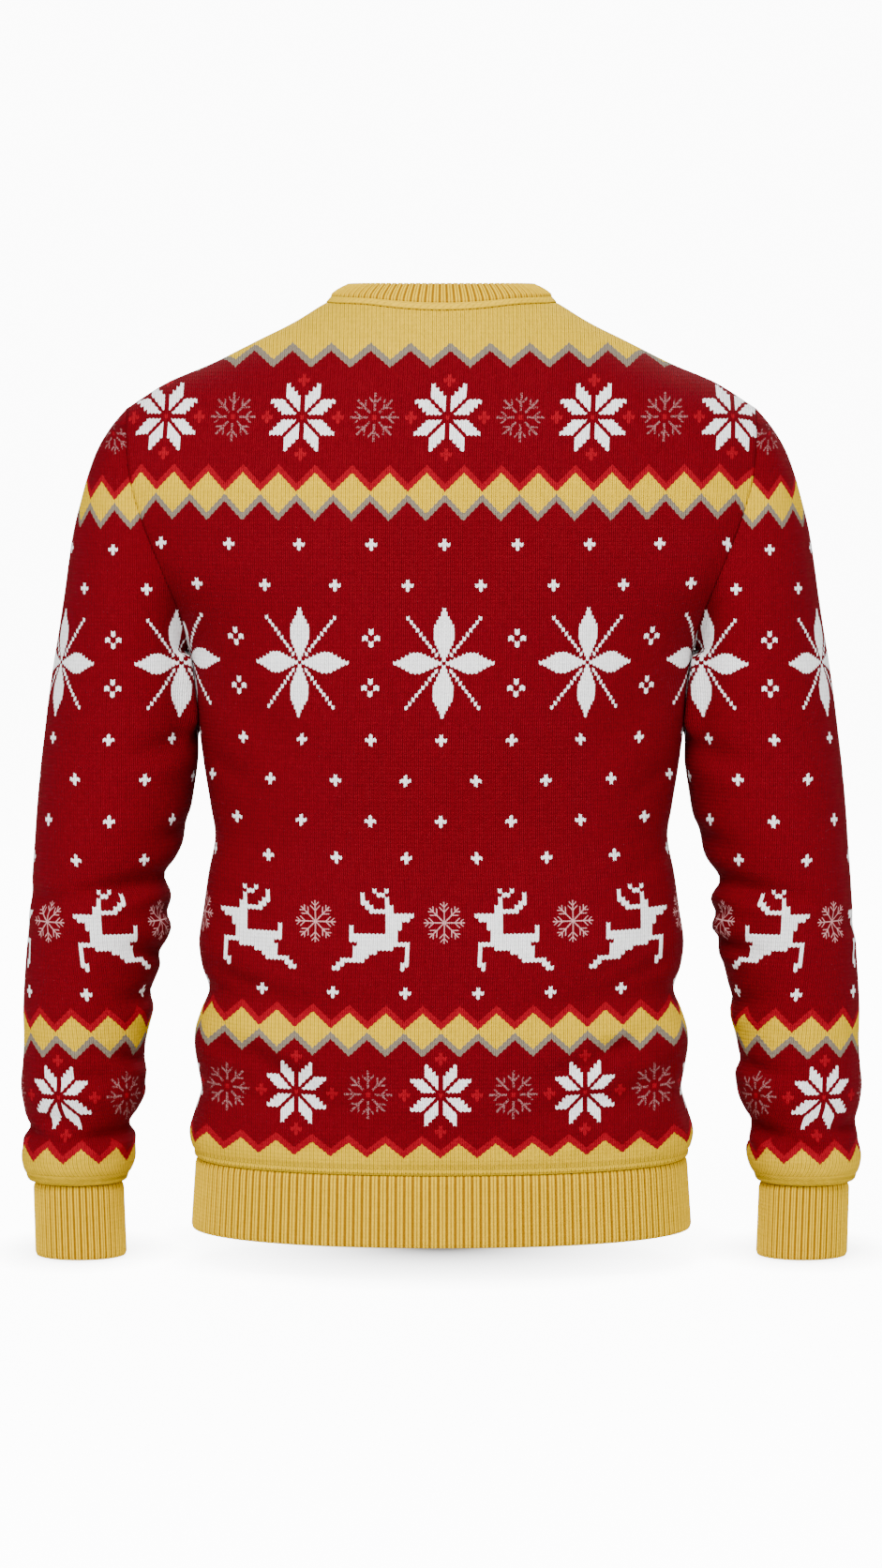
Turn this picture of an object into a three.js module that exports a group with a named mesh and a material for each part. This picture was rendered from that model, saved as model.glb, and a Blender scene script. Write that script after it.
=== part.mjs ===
// A knitted Christmas pullover, men's size M, filled out as if it were worn, with nobody in it.
// Millimetres, +Z up. The front faces -Y and the wearer's left is +X.
// The origin is the middle of the neck hole, level with the back neck seam.

import * as THREE from 'three';

// Cloth
const CLOTH = 2;
const SEAM_GAP = 0.4;
const DARK_RED = 0x9b0a14;
const YELLOW = 0xf3d264;

// Neck and shoulders
const NECK_POINT = { x: 88, z: 4.6 };
const SHOULDER_TIP = { x: 240, z: -75.5 };
const SHOULDER_WIDE = 272;
const ARMPIT_Z = -260;

// Exponent of the body's rounded oblong section
const SECTION_POWER = 2.2;

// For each panel: how far below the shoulder line the cloth has rolled over to its full depth, at
// the centre and at the shoulder tip; how far the neck hole reaches in Y, and how square it is;
// and how much deeper than the other the armhole is cut
const BACK = {
  sign: 1, column: 'back', rollCentre: 165, rollTip: 120, neckY: 68, neckPower: 1, armholeCut: 0,
};
const FRONT = {
  sign: -1, column: 'front', rollCentre: 350, rollTip: 140, neckY: 88, neckPower: 0.6, armholeCut: 8,
};

// Mesh steps
const NECK_COLUMNS = 6;
const SHOULDER_COLUMNS = 7;
const HALF_COLUMNS = NECK_COLUMNS + SHOULDER_COLUMNS;
const ARMHOLE_ROWS = 10;

// Ribs
const RIB = { wall: 2, rise: 1.2 };
const HEM_RIBS = 136;
const CUFF_RIBS = 40;
const NECK_RIBS = 100;

// Body below the armholes, from the hem seam up: half width at the side seam, and the depth of
// the back and of the front. The narrow rows are the folds that the sides pinch in.
const BODY = [
  { z: -650.5, half: 188.0, back: 121.0, front: 127.0 },
  { z: -641, half: 192.5, back: 125.0, front: 131.0 },
  { z: -630, half: 194.2, back: 127.0, front: 133.0 },
  { z: -615, half: 190.0, back: 126.0, front: 132.0 },
  { z: -598, half: 185.0, back: 124.5, front: 130.0 },
  { z: -583, half: 187.2, back: 124.0, front: 129.5 },
  { z: -566, half: 190.0, back: 124.0, front: 129.0 },
  { z: -552, half: 189.4, back: 123.5, front: 128.5 },
  { z: -537, half: 184.7, back: 122.5, front: 128.0 },
  { z: -521, half: 178.8, back: 121.0, front: 127.0 },
  { z: -503, half: 184.2, back: 120.5, front: 126.0 },
  { z: -484, half: 186.4, back: 119.5, front: 125.0 },
  { z: -460, half: 183.0, back: 117.0, front: 123.0 },
  { z: -432, half: 179.0, back: 113.5, front: 120.5 },
  { z: -404, half: 173.8, back: 110.5, front: 118.5 },
  { z: -380, half: 177.2, back: 110.0, front: 118.5 },
  { z: -350, half: 182.0, back: 111.0, front: 120.0 },
  { z: -318, half: 186.2, back: 113.0, front: 122.5 },
  { z: -286, half: 189.8, back: 114.5, front: 124.5 },
  { z: ARMPIT_Z, half: 194.0, back: 115.5, front: 126.0 },
];

// Armhole seam, from the armpit up: where it lies from the middle, and the half width that the
// body's section would have if the sleeve didn't cut it off there.
const ARMHOLE = [
  { z: ARMPIT_Z, edge: 194.0, wide: 194.0 },
  { z: -245, edge: 195.6, wide: 199.8 },
  { z: -230, edge: 199.5, wide: 210.0 },
  { z: -200, edge: 211.0, wide: 236.0 },
  { z: -168, edge: 224.0, wide: 250.0 },
  { z: -130, edge: 236.0, wide: 263.0 },
  { z: -100, edge: 239.6, wide: 267.0 },
  { z: SHOULDER_TIP.z, edge: SHOULDER_TIP.x, wide: SHOULDER_WIDE },
  { z: 20, edge: SHOULDER_TIP.x, wide: SHOULDER_WIDE },
];

// Shoulder line, and the crest that it would have if it ran on over the neck hole
const SHOULDER = [
  { x: -50, z: 22.5 },
  { x: 0, z: 30 },
  { x: 50, z: 22.5 },
  { x: NECK_POINT.x, z: NECK_POINT.z },
  { x: 112, z: -10 },
  { x: 141, z: -24.5 },
  { x: 176, z: -42 },
  { x: 210, z: -56.5 },
  { x: SHOULDER_TIP.x, z: SHOULDER_TIP.z },
];

// Long soft folds across a panel: middle, half length, half width, depth and slant
const FOLDS = [
  { panel: BACK, x: 118, z: -598, long: 62, wide: 15, deep: 4.0, slant: 0.10 },
  { panel: BACK, x: -112, z: -602, long: 70, wide: 14, deep: 3.6, slant: -0.12 },
  { panel: BACK, x: 128, z: -524, long: 58, wide: 17, deep: 3.4, slant: 0.18 },
  { panel: BACK, x: -132, z: -519, long: 50, wide: 16, deep: 3.0, slant: -0.20 },
  { panel: BACK, x: 150, z: -300, long: 52, wide: 20, deep: 4.0, slant: 0.75 },
  { panel: BACK, x: -150, z: -304, long: 50, wide: 20, deep: 4.0, slant: -0.75 },
  { panel: FRONT, x: 108, z: -604, long: 66, wide: 15, deep: 3.8, slant: 0.14 },
  { panel: FRONT, x: -120, z: -596, long: 60, wide: 14, deep: 3.6, slant: -0.08 },
  { panel: FRONT, x: 134, z: -517, long: 52, wide: 16, deep: 3.2, slant: 0.16 },
  { panel: FRONT, x: -124, z: -526, long: 60, wide: 17, deep: 3.2, slant: -0.22 },
  { panel: FRONT, x: 152, z: -296, long: 54, wide: 20, deep: 4.0, slant: 0.70 },
  { panel: FRONT, x: -148, z: -301, long: 48, wide: 20, deep: 4.0, slant: -0.80 },
];

// Left sleeve from the armhole to the cuff seam: its outer point, its underarm point, its half
// depth and the place of its middle in Y. Short underarms are the folds at elbow and wrist.
const SLEEVE = [
  { outX: SHOULDER_TIP.x, outZ: SHOULDER_TIP.z, inX: 194.0, inZ: ARMPIT_Z, deep: 60.0, y: -3 },
  { outX: 251.0, outZ: -88, inX: 195.6, inZ: -262.5, deep: 60.6, y: -3 },
  { outX: 262.0, outZ: -105, inX: 196.0, inZ: -266, deep: 61.2, y: -3 },
  { outX: 270.0, outZ: -125, inX: 195.6, inZ: -271, deep: 61.5, y: -3 },
  { outX: 276.0, outZ: -146, inX: 194.6, inZ: -277, deep: 61.5, y: -3 },
  { outX: 281.5, outZ: -168, inX: 193.4, inZ: -284, deep: 61.5, y: -3 },
  { outX: 285.5, outZ: -192, inX: 192.0, inZ: -292, deep: 61.0, y: -3 },
  { outX: 289.0, outZ: -217, inX: 190.6, inZ: -301, deep: 60.5, y: -4 },
  { outX: 293.0, outZ: -243, inX: 189.2, inZ: -311, deep: 60.0, y: -4 },
  { outX: 297.4, outZ: -269, inX: 188.0, inZ: -321, deep: 59.5, y: -5 },
  { outX: 301.4, outZ: -296, inX: 187.0, inZ: -333, deep: 59.0, y: -5 },
  { outX: 305.0, outZ: -324, inX: 187.4, inZ: -349, deep: 58.5, y: -6 },
  { outX: 308.6, outZ: -354, inX: 190.4, inZ: -370, deep: 58.0, y: -7 },
  { outX: 311.4, outZ: -384, inX: 195.0, inZ: -396, deep: 57.0, y: -8 },
  { outX: 313.4, outZ: -412, inX: 203.5, inZ: -418, deep: 55.5, y: -9 },
  { outX: 315.0, outZ: -432, inX: 210.8, inZ: -437, deep: 54.0, y: -10 },
  { outX: 316.3, outZ: -450, inX: 208.0, inZ: -459, deep: 54.5, y: -10 },
  { outX: 317.8, outZ: -470, inX: 210.4, inZ: -480, deep: 54.0, y: -11 },
  { outX: 319.8, outZ: -490, inX: 216.4, inZ: -499, deep: 52.5, y: -12 },
  { outX: 321.5, outZ: -511, inX: 221.2, inZ: -520, deep: 51.0, y: -13 },
  { outX: 323.0, outZ: -538, inX: 223.8, inZ: -544, deep: 50.0, y: -14 },
  { outX: 322.6, outZ: -562, inX: 228.8, inZ: -567, deep: 48.5, y: -15 },
  { outX: 323.6, outZ: -580, inX: 228.0, inZ: -586, deep: 48.5, y: -16 },
  { outX: 325.2, outZ: -600, inX: 229.4, inZ: -605, deep: 48.5, y: -17 },
  { outX: 321.6, outZ: -625, inX: 238.4, inZ: -626, deep: 43.5, y: -18 },
  { outX: 322.4, outZ: -640, inX: 237.2, inZ: -641, deep: 44.0, y: -18 },
  { outX: 325.2, outZ: -654, inX: 236.8, inZ: -655, deep: 45.5, y: -19 },
  { outX: 322.0, outZ: -667, inX: 241.2, inZ: -666, deep: 41.5, y: -19 },
  { outX: 316.0, outZ: -673, inX: 246.2, inZ: -672.5, deep: 36.5, y: -19 },
];
const ARMHOLE_FADE_RINGS = 5;

// Direction of the cloth's outer face round the armhole seam, at its top, side and underarm
const SEAM_FACE = {
  top: new THREE.Vector3(0.45, 0, 0.89),
  side: new THREE.Vector3(0.3, 0.95, 0),
  underarm: new THREE.Vector3(0.08, 0, -1),
};

// Hem and cuff bands from their seams down: how far below the seam, and how far outside it
const HEM_BAND = [
  { drop: SEAM_GAP, grow: 0 },
  { drop: 54.5, grow: 3.6 },
];
const CUFF_BAND = [
  { drop: SEAM_GAP, grow: -1.2, shift: 0 },
  { drop: 57.5, grow: -0.9, shift: -1.8 },
];

// Upper edge of the neck band: its reach in X and Y, its height at the back and the front, and
// how gently it bends down between them
const NECK_TOP = { half: 72, backY: 54, frontY: 76, frontPower: 0.7, backZ: 18, frontZ: -50, bend: 0.1 };
const NECK_BAND = { outside: 0.8, inside: -2.8, crown: 1.6 };

// A smooth value from one column of a table, at a place along its key column
function along(table, key, column, place) {
  const last = table.length - 1;
  const held = Math.min(Math.max(place, table[0][key]), table[last][key]);
  let i = 0;
  while (i < last - 1 && table[i + 1][key] < held) {
    i += 1;
  }
  const slope = (j) => {
    const low = table[Math.max(j - 1, 0)];
    const high = table[Math.min(j + 1, last)];
    return (high[column] - low[column]) / (high[key] - low[key]);
  };
  const span = table[i + 1][key] - table[i][key];
  const t = (held - table[i][key]) / span;
  const rise = table[i + 1][column] - table[i][column];
  const bendLow = slope(i) * span - rise;
  const bendHigh = rise - slope(i + 1) * span;
  return table[i][column] + t * rise + t * (1 - t) * ((1 - t) * bendLow + t * bendHigh);
}

function rollReach(panel, x) {
  const toTip = THREE.MathUtils.smoothstep(x, 0, SHOULDER_TIP.x);
  return THREE.MathUtils.lerp(panel.rollCentre, panel.rollTip, toTip);
}

// How much of its full depth the cloth has reached, below the shoulder line
function rollOver(panel, x, z) {
  const out = Math.abs(x);
  const below = Math.max(along(SHOULDER, 'x', 'z', out) - z, 0);
  const left = 1 - Math.min(below / rollReach(panel, out), 1);
  return Math.sqrt(1 - left * left);
}

// Rounded oblong section: depth at x as a part of the depth at the centre
function oblong(x, wide) {
  const part = Math.min(Math.abs(x) / wide, 1);
  return (1 - part ** SECTION_POWER) ** (1 / SECTION_POWER);
}

// Depth of the folds at a point of a panel
function foldDepth(panel, x, z) {
  let deep = 0;
  for (const fold of FOLDS) {
    if (fold.panel === panel) {
      const run = (x - fold.x) / fold.long;
      const off = (z - fold.z - fold.slant * (x - fold.x)) / fold.wide;
      deep += fold.deep * Math.exp(-run * run - off * off);
    }
  }
  return deep;
}

// How much deeper this panel's armhole is cut at a height, none at the armpit and shoulder tip
function armholeBite(panel, z) {
  const reach = (SHOULDER_TIP.z - ARMPIT_Z) / 2;
  const off = (z - ARMPIT_Z - reach) / reach;
  return panel.armholeCut * Math.max(1 - off * off, 0);
}

// Place of a panel's outer face in Y, at a point of the outline seen from the front
function faceY(panel, x, z) {
  const armholeWide = along(ARMHOLE, 'z', 'wide', z) - armholeBite(panel, z);
  const wide = z < ARMPIT_Z ? along(BODY, 'z', 'half', z) : armholeWide;
  const full = along(BODY, 'z', panel.column, z) - foldDepth(panel, x, z);
  return panel.sign * (SEAM_GAP / 2 + full * oblong(x, wide) * rollOver(panel, x, z));
}

// Edge of the neck hole, an oval seen from above, at an angle from the centre to the neck point
function neckEdge(panel, angle) {
  const x = NECK_POINT.x * Math.sin(angle);
  const full = BODY[BODY.length - 1][panel.column] * oblong(x, SHOULDER_WIDE);
  const rolled = panel.neckY * Math.cos(angle) ** panel.neckPower / full;
  const below = rollReach(panel, x) * (1 - Math.sqrt(1 - rolled * rolled));
  return { x, z: along(SHOULDER, 'x', 'z', x) - below };
}

// Upper edge of a panel, from the centre (column 0) to the shoulder tip
function upperEdge(panel, column) {
  const count = Math.abs(column);
  if (count < NECK_COLUMNS) {
    return neckEdge(panel, (count / NECK_COLUMNS) * Math.PI / 2);
  }
  const x = THREE.MathUtils.lerp(NECK_POINT.x, SHOULDER_TIP.x, (count - NECK_COLUMNS) / SHOULDER_COLUMNS);
  return { x, z: along(SHOULDER, 'x', 'z', x) };
}

// Armhole seam of a panel, from the shoulder tip (turn 0) to the armpit (turn PI)
function armholeSeam(panel, turn) {
  const z = ARMPIT_Z + (SHOULDER_TIP.z - ARMPIT_Z) * (1 + Math.cos(turn)) / 2;
  const x = along(ARMHOLE, 'z', 'edge', z) - armholeBite(panel, z);
  return { x, z };
}

function seamFace(panel, turn) {
  const up = Math.cos(turn);
  const face = (up > 0 ? SEAM_FACE.top : SEAM_FACE.underarm).clone().multiplyScalar(Math.abs(up));
  face.addScaledVector(SEAM_FACE.side, Math.sin(turn));
  face.y *= panel.sign;
  return face.normalize();
}

// Outer points of a panel, by rows from the hem seam up and by columns from its right side to
// its left
function panelPoints(panel) {
  const rows = BODY.slice(0, -1).map((level) => {
    const row = [];
    for (let column = -HALF_COLUMNS; column <= HALF_COLUMNS; column += 1) {
      const x = level.half * Math.sin((column / HALF_COLUMNS) * Math.PI / 2);
      row.push(new THREE.Vector3(x, faceY(panel, x, level.z), level.z));
    }
    return row;
  });
  for (let step = ARMHOLE_ROWS; step >= 0; step -= 1) {
    const turn = (step / ARMHOLE_ROWS) * Math.PI;
    const seam = armholeSeam(panel, turn);
    const climb = (1 + Math.cos(turn)) / 2;
    const row = [];
    for (let column = -HALF_COLUMNS; column <= HALF_COLUMNS; column += 1) {
      const edge = upperEdge(panel, column);
      const low = Math.sin((Math.abs(column) / HALF_COLUMNS) * Math.PI / 2);
      const part = THREE.MathUtils.lerp(low, edge.x / SHOULDER_TIP.x, climb);
      const x = Math.sign(column) * part * seam.x;
      const z = THREE.MathUtils.lerp(ARMPIT_Z, edge.z, climb);
      row.push(new THREE.Vector3(x, faceY(panel, x, z), z));
    }
    rows.push(row);
  }
  return rows;
}

// Directions square to a grid of points, out of the face when sign is 1
function gridNormals(rows, sign, wraps) {
  const lastRow = rows.length - 1;
  const count = rows[0].length;
  return rows.map((row, i) => row.map((point, j) => {
    const before = wraps ? (j - 1 + count) % count : Math.max(j - 1, 0);
    const after = wraps ? (j + 1) % count : Math.min(j + 1, count - 1);
    const across = row[after].clone().sub(row[before]);
    const up = rows[Math.min(i + 1, lastRow)][j].clone().sub(rows[Math.max(i - 1, 0)][j]);
    return across.cross(up).multiplyScalar(sign).normalize();
  }));
}

// Cloth seams lie in one plane with the piece that they meet, so the wall's edge is square to it
function panelNormals(panel, rows) {
  const normals = gridNormals(rows, -panel.sign, false);
  const armpitRow = BODY.length - 1;
  const topRow = rows.length - 1;
  normals.forEach((row, i) => {
    row.forEach((normal, j) => {
      const column = j - HALF_COLUMNS;
      const atSide = Math.abs(column) === HALF_COLUMNS;
      if (i === 0) {
        normal.z = 0;
      }
      if (atSide || (i === topRow && Math.abs(column) >= NECK_COLUMNS)) {
        normal.y = 0;
      }
      if (atSide && i >= armpitRow) {
        const turn = ((topRow - i) / ARMHOLE_ROWS) * Math.PI;
        normal.copy(seamFace(panel, turn));
        normal.x *= Math.sign(column);
      }
      normal.normalize();
    });
  });
  return normals;
}

function offsetPoints(rows, normals, distance) {
  return rows.map((row, i) => row.map((point, j) => point.clone().addScaledVector(normals[i][j], distance)));
}

// One closed solid between an outer and an inner grid of points. A grid that wraps is a tube,
// open at both ends; one that doesn't is a panel with four edges.
function wallBetween(outer, inner, wraps) {
  const rowCount = outer.length;
  const columnCount = outer[0].length;
  const points = outer.flat().concat(inner.flat());
  const innerStart = rowCount * columnCount;
  const place = (i, j) => i * columnCount + (j % columnCount);
  const steps = wraps ? columnCount : columnCount - 1;
  const faces = [];
  const quad = (a, b, c, d) => faces.push(a, b, c, a, c, d);
  for (let i = 0; i < rowCount - 1; i += 1) {
    for (let j = 0; j < steps; j += 1) {
      const corners = [place(i, j), place(i, j + 1), place(i + 1, j + 1), place(i + 1, j)];
      quad(...corners);
      const [a, b, c, d] = corners.map((corner) => corner + innerStart);
      faces.push(c, b, a, d, c, a);
    }
  }
  for (let j = 0; j < steps; j += 1) {
    const last = rowCount - 1;
    quad(place(0, j + 1), place(0, j), place(0, j) + innerStart, place(0, j + 1) + innerStart);
    quad(place(last, j), place(last, j + 1), place(last, j + 1) + innerStart, place(last, j) + innerStart);
  }
  if (!wraps) {
    for (let i = 0; i < rowCount - 1; i += 1) {
      quad(place(i, 0), place(i + 1, 0), place(i + 1, 0) + innerStart, place(i, 0) + innerStart);
      const [low, high] = [place(i, steps), place(i + 1, steps)];
      quad(high, low, low + innerStart, high + innerStart);
    }
  }
  return closedGeometry(points, faces);
}

function signedVolume(points, faces) {
  let volume = 0;
  for (let k = 0; k < faces.length; k += 3) {
    const [a, b, c] = [points[faces[k]], points[faces[k + 1]], points[faces[k + 2]]];
    volume += a.dot(b.clone().cross(c)) / 6;
  }
  return volume;
}

function closedGeometry(points, faces) {
  const turned = signedVolume(points, faces) < 0 ? [...faces].reverse() : faces;
  const geometry = new THREE.BufferGeometry();
  geometry.setAttribute('position', new THREE.Float32BufferAttribute(points.flatMap((p) => p.toArray()), 3));
  geometry.setIndex(turned);
  geometry.computeVertexNormals();
  return geometry;
}

const backPoints = panelPoints(BACK);
const frontPoints = panelPoints(FRONT);
const backNormals = panelNormals(BACK, backPoints);
const frontNormals = panelNormals(FRONT, frontPoints);

// Points of the left armhole, all round from the shoulder tip over the back to the front, with
// the direction of the cloth's face there and the way out of the panel into the sleeve
function armholeRing() {
  const topRow = backPoints.length - 1;
  const last = backPoints[0].length - 1;
  const ring = [];
  for (let step = 0; step < 2 * ARMHOLE_ROWS; step += 1) {
    const onBack = step <= ARMHOLE_ROWS;
    const row = topRow - (onBack ? step : 2 * ARMHOLE_ROWS - step);
    const points = onBack ? backPoints : frontPoints;
    const normals = onBack ? backNormals : frontNormals;
    const atTip = step === 0 || step === ARMHOLE_ROWS;
    const point = points[row][last].clone();
    if (atTip) {
      point.y = 0;
    }
    ring.push({ point, face: normals[row][last] });
  }
  return ring.map((station, step) => {
    const before = ring[(step + ring.length - 1) % ring.length].point;
    const after = ring[(step + 1) % ring.length].point;
    const outward = station.face.clone().cross(after.clone().sub(before)).normalize();
    return { ...station, outward: outward.negate() };
  });
}

// Outer and inner points of the left sleeve, ring by ring from the armhole
function sleeveWall() {
  const armhole = armholeRing();
  const count = armhole.length;
  const ellipse = (level, step) => {
    const turn = (step / count) * 2 * Math.PI;
    const reach = (1 + Math.cos(turn)) / 2;
    return new THREE.Vector3(
      THREE.MathUtils.lerp(level.inX, level.outX, reach),
      level.y + level.deep * Math.sin(turn),
      THREE.MathUtils.lerp(level.inZ, level.outZ, reach),
    );
  };
  const starts = armhole.map((station) => station.point.clone().addScaledVector(station.outward, SEAM_GAP));
  const rings = SLEEVE.map((level, i) => starts.map((start, step) => {
    const stray = start.clone().sub(ellipse(SLEEVE[0], step));
    const fade = Math.max(1 - i / ARMHOLE_FADE_RINGS, 0) ** 2;
    return ellipse(level, step).addScaledVector(stray, fade);
  }));
  const normals = gridNormals(rings, -1, true);
  normals[0].forEach((normal, step) => normal.copy(armhole[step].face));
  normals[normals.length - 1].forEach((normal) => {
    normal.z = 0;
    normal.normalize();
  });
  return { outer: rings, inner: offsetPoints(rings, normals, -CLOTH), normals };
}

function mirrored(rows) {
  return rows.map((row) => row.map((point) => new THREE.Vector3(-point.x, point.y, point.z)));
}

// Evenly spaced stations along a closed run of stations, with everything between them blended
function evenStations(loop, count) {
  const lengths = loop.map((station, i) => station.point.distanceTo(loop[(i + 1) % loop.length].point));
  const total = lengths.reduce((sum, length) => sum + length, 0);
  const stations = [];
  let edge = 0;
  let passed = 0;
  for (let k = 0; k < count; k += 1) {
    const want = (k / count) * total;
    while (passed + lengths[edge] < want) {
      passed += lengths[edge];
      edge += 1;
    }
    const from = loop[edge];
    const to = loop[(edge + 1) % loop.length];
    const t = (want - passed) / lengths[edge];
    const station = {};
    for (const key of Object.keys(from)) {
      station[key] = from[key].clone().lerp(to[key], t);
    }
    stations.push(station);
  }
  return stations;
}

// A ribbed band hung from a level seam: ribs stand up from its outer face, its inside is plain
function hangingBand(seam, seamZ, ribs, levels) {
  const stations = evenStations(seam, 2 * ribs);
  const place = (station, level, offset) => {
    const point = station.point.clone().addScaledVector(station.face, level.grow + offset);
    point.x += Math.sign(station.point.x) * (level.shift ?? 0);
    point.z = seamZ - level.drop;
    return point;
  };
  const outer = levels.map((level) => (
    stations.map((station, k) => place(station, level, (k % 2) * RIB.rise))
  ));
  const inner = levels.map((level) => stations.map((station) => place(station, level, -RIB.wall)));
  return wallBetween(outer, inner, true);
}

function flatFace(normal) {
  return new THREE.Vector3(normal.x, normal.y, 0).normalize();
}

// Lower edge of the body, once round: the back from its right side to its left, then the front
function hemSeam() {
  const back = backPoints[0].map((point, j) => ({ point, face: flatFace(backNormals[0][j]) }));
  const front = frontPoints[0].map((point, j) => ({ point, face: flatFace(frontNormals[0][j]) }));
  return back.concat(front.reverse());
}

function cuffSeam(sleeve, side) {
  const last = sleeve.outer.length - 1;
  return sleeve.outer[last].map((point, step) => {
    const normal = sleeve.normals[last][step];
    return {
      point: new THREE.Vector3(side * point.x, point.y, point.z),
      face: flatFace(new THREE.Vector3(side * normal.x, normal.y, 0)),
    };
  });
}

// Upper edge of the neck band, at an angle from the centre of a panel to the neck point
function neckTop(panel, angle) {
  const level = Math.cos(angle);
  const forward = -panel.sign * level;
  const drop = (forward + Math.hypot(forward, NECK_TOP.bend)) / 2;
  const y = panel === BACK ? NECK_TOP.backY * level : -NECK_TOP.frontY * level ** NECK_TOP.frontPower;
  const z = THREE.MathUtils.lerp(NECK_TOP.backZ, NECK_TOP.frontZ, drop);
  return new THREE.Vector3(NECK_TOP.half * Math.sin(angle), y, z);
}

// Edge of the neck hole, once round, with the matching point of the band's upper edge
function neckSeam() {
  const topRow = backPoints.length - 1;
  const station = (panel, points, normals, column) => {
    const j = column + HALF_COLUMNS;
    const top = neckTop(panel, (column / NECK_COLUMNS) * Math.PI / 2);
    return { point: points[topRow][j], face: normals[topRow][j], top };
  };
  const loop = [];
  for (let column = -NECK_COLUMNS; column <= NECK_COLUMNS; column += 1) {
    loop.push(station(BACK, backPoints, backNormals, column));
  }
  for (let column = NECK_COLUMNS; column >= -NECK_COLUMNS; column -= 1) {
    loop.push(station(FRONT, frontPoints, frontNormals, column));
  }
  return loop.map((entry, i) => {
    const before = loop[(i + loop.length - 1) % loop.length].point;
    const after = loop[(i + 1) % loop.length].point;
    return { ...entry, run: after.clone().sub(before).normalize() };
  });
}

// The folded neck band: a ribbed outer face, a rounded upper edge and a plain inside
function neckBand() {
  const stations = evenStations(neckSeam(), 2 * NECK_RIBS);
  const rows = { foot: [], middle: [], top: [], topInside: [], middleInside: [], footInside: [] };
  stations.forEach(({ point, face, top, run }, k) => {
    const rise = (k % 2) * RIB.rise;
    const intoBand = face.clone().cross(run).normalize();
    if (intoBand.z < 0) {
      intoBand.negate();
    }
    const foot = point.clone().addScaledVector(intoBand, SEAM_GAP);
    const across = top.clone().sub(foot).cross(run).normalize();
    if (across.dot(face) < 0) {
      across.negate();
    }
    const at = (base, direction, offset) => base.clone().addScaledVector(direction, offset);
    const middle = foot.clone().lerp(top, 0.5).addScaledVector(across, NECK_BAND.crown);
    rows.foot.push(at(foot, face, NECK_BAND.outside + rise));
    rows.middle.push(at(middle, across, NECK_BAND.outside + rise));
    rows.top.push(at(top, across, NECK_BAND.outside + rise / 2));
    rows.topInside.push(at(top, across, NECK_BAND.inside));
    rows.middleInside.push(at(middle, across, NECK_BAND.inside));
    rows.footInside.push(at(foot, face, NECK_BAND.inside));
  });
  const outer = [rows.foot, rows.middle, rows.top];
  const inner = [rows.footInside, rows.middleInside, rows.topInside];
  return wallBetween(outer, inner, true);
}

function yarn(color) {
  return new THREE.MeshStandardMaterial({ color, roughness: 0.95, metalness: 0 });
}

const sleeve = sleeveWall();
const hemZ = BODY[0].z;
const cuffZ = SLEEVE[SLEEVE.length - 1].outZ;
const backInside = offsetPoints(backPoints, backNormals, -CLOTH);
const frontInside = offsetPoints(frontPoints, frontNormals, -CLOTH);

const pieces = [
  ['back', wallBetween(backPoints, backInside, false), DARK_RED],
  ['front', wallBetween(frontPoints, frontInside, false), DARK_RED],
  ['left_sleeve', wallBetween(sleeve.outer, sleeve.inner, true), DARK_RED],
  ['right_sleeve', wallBetween(mirrored(sleeve.outer), mirrored(sleeve.inner), true), DARK_RED],
  ['neck_rib', neckBand(), YELLOW],
  ['hem_rib', hangingBand(hemSeam(), hemZ, HEM_RIBS, HEM_BAND), YELLOW],
  ['left_cuff', hangingBand(cuffSeam(sleeve, 1), cuffZ, CUFF_RIBS, CUFF_BAND), YELLOW],
  ['right_cuff', hangingBand(cuffSeam(sleeve, -1), cuffZ, CUFF_RIBS, CUFF_BAND), YELLOW],
];

const group = new THREE.Group();
for (const [name, geometry, color] of pieces) {
  const mesh = new THREE.Mesh(geometry, yarn(color));
  mesh.name = name;
  group.add(mesh);
}

export default group;
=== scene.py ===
"""A knitted Christmas pullover, seen from its back: the yarn, the colour charts and the ribs."""

from functools import partialmethod, reduce

import bpy
import numpy as np
from bpy.props import FloatProperty, FloatVectorProperty, IntProperty, PointerProperty
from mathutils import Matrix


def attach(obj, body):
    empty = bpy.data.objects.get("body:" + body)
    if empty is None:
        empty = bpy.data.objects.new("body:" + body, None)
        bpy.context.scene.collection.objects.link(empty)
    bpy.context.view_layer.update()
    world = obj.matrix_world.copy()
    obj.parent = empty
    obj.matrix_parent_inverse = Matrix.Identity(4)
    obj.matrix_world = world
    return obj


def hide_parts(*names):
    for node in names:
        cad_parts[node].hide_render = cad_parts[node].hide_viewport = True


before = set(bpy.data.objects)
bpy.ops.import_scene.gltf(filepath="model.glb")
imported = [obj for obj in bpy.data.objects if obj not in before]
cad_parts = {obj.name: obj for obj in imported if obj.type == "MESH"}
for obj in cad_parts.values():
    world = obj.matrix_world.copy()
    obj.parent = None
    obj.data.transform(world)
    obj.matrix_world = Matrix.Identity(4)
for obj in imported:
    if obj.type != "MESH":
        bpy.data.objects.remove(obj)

bl_info = {
    "name": "Christmas Pullover",
    "version": (1, 0, 0),
    "blender": (4, 0, 0),
    "location": "View3D > Sidebar > Pullover",
    "description": "Builds a knitted Christmas pullover with stranded colour bands",
    "category": "Add Mesh",
}

# Form, in millimetres. +Z is up, the front faces -Y and the wearer's left is +X.
CLOTH = 2.0
SEAM_GAP = 0.4
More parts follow.
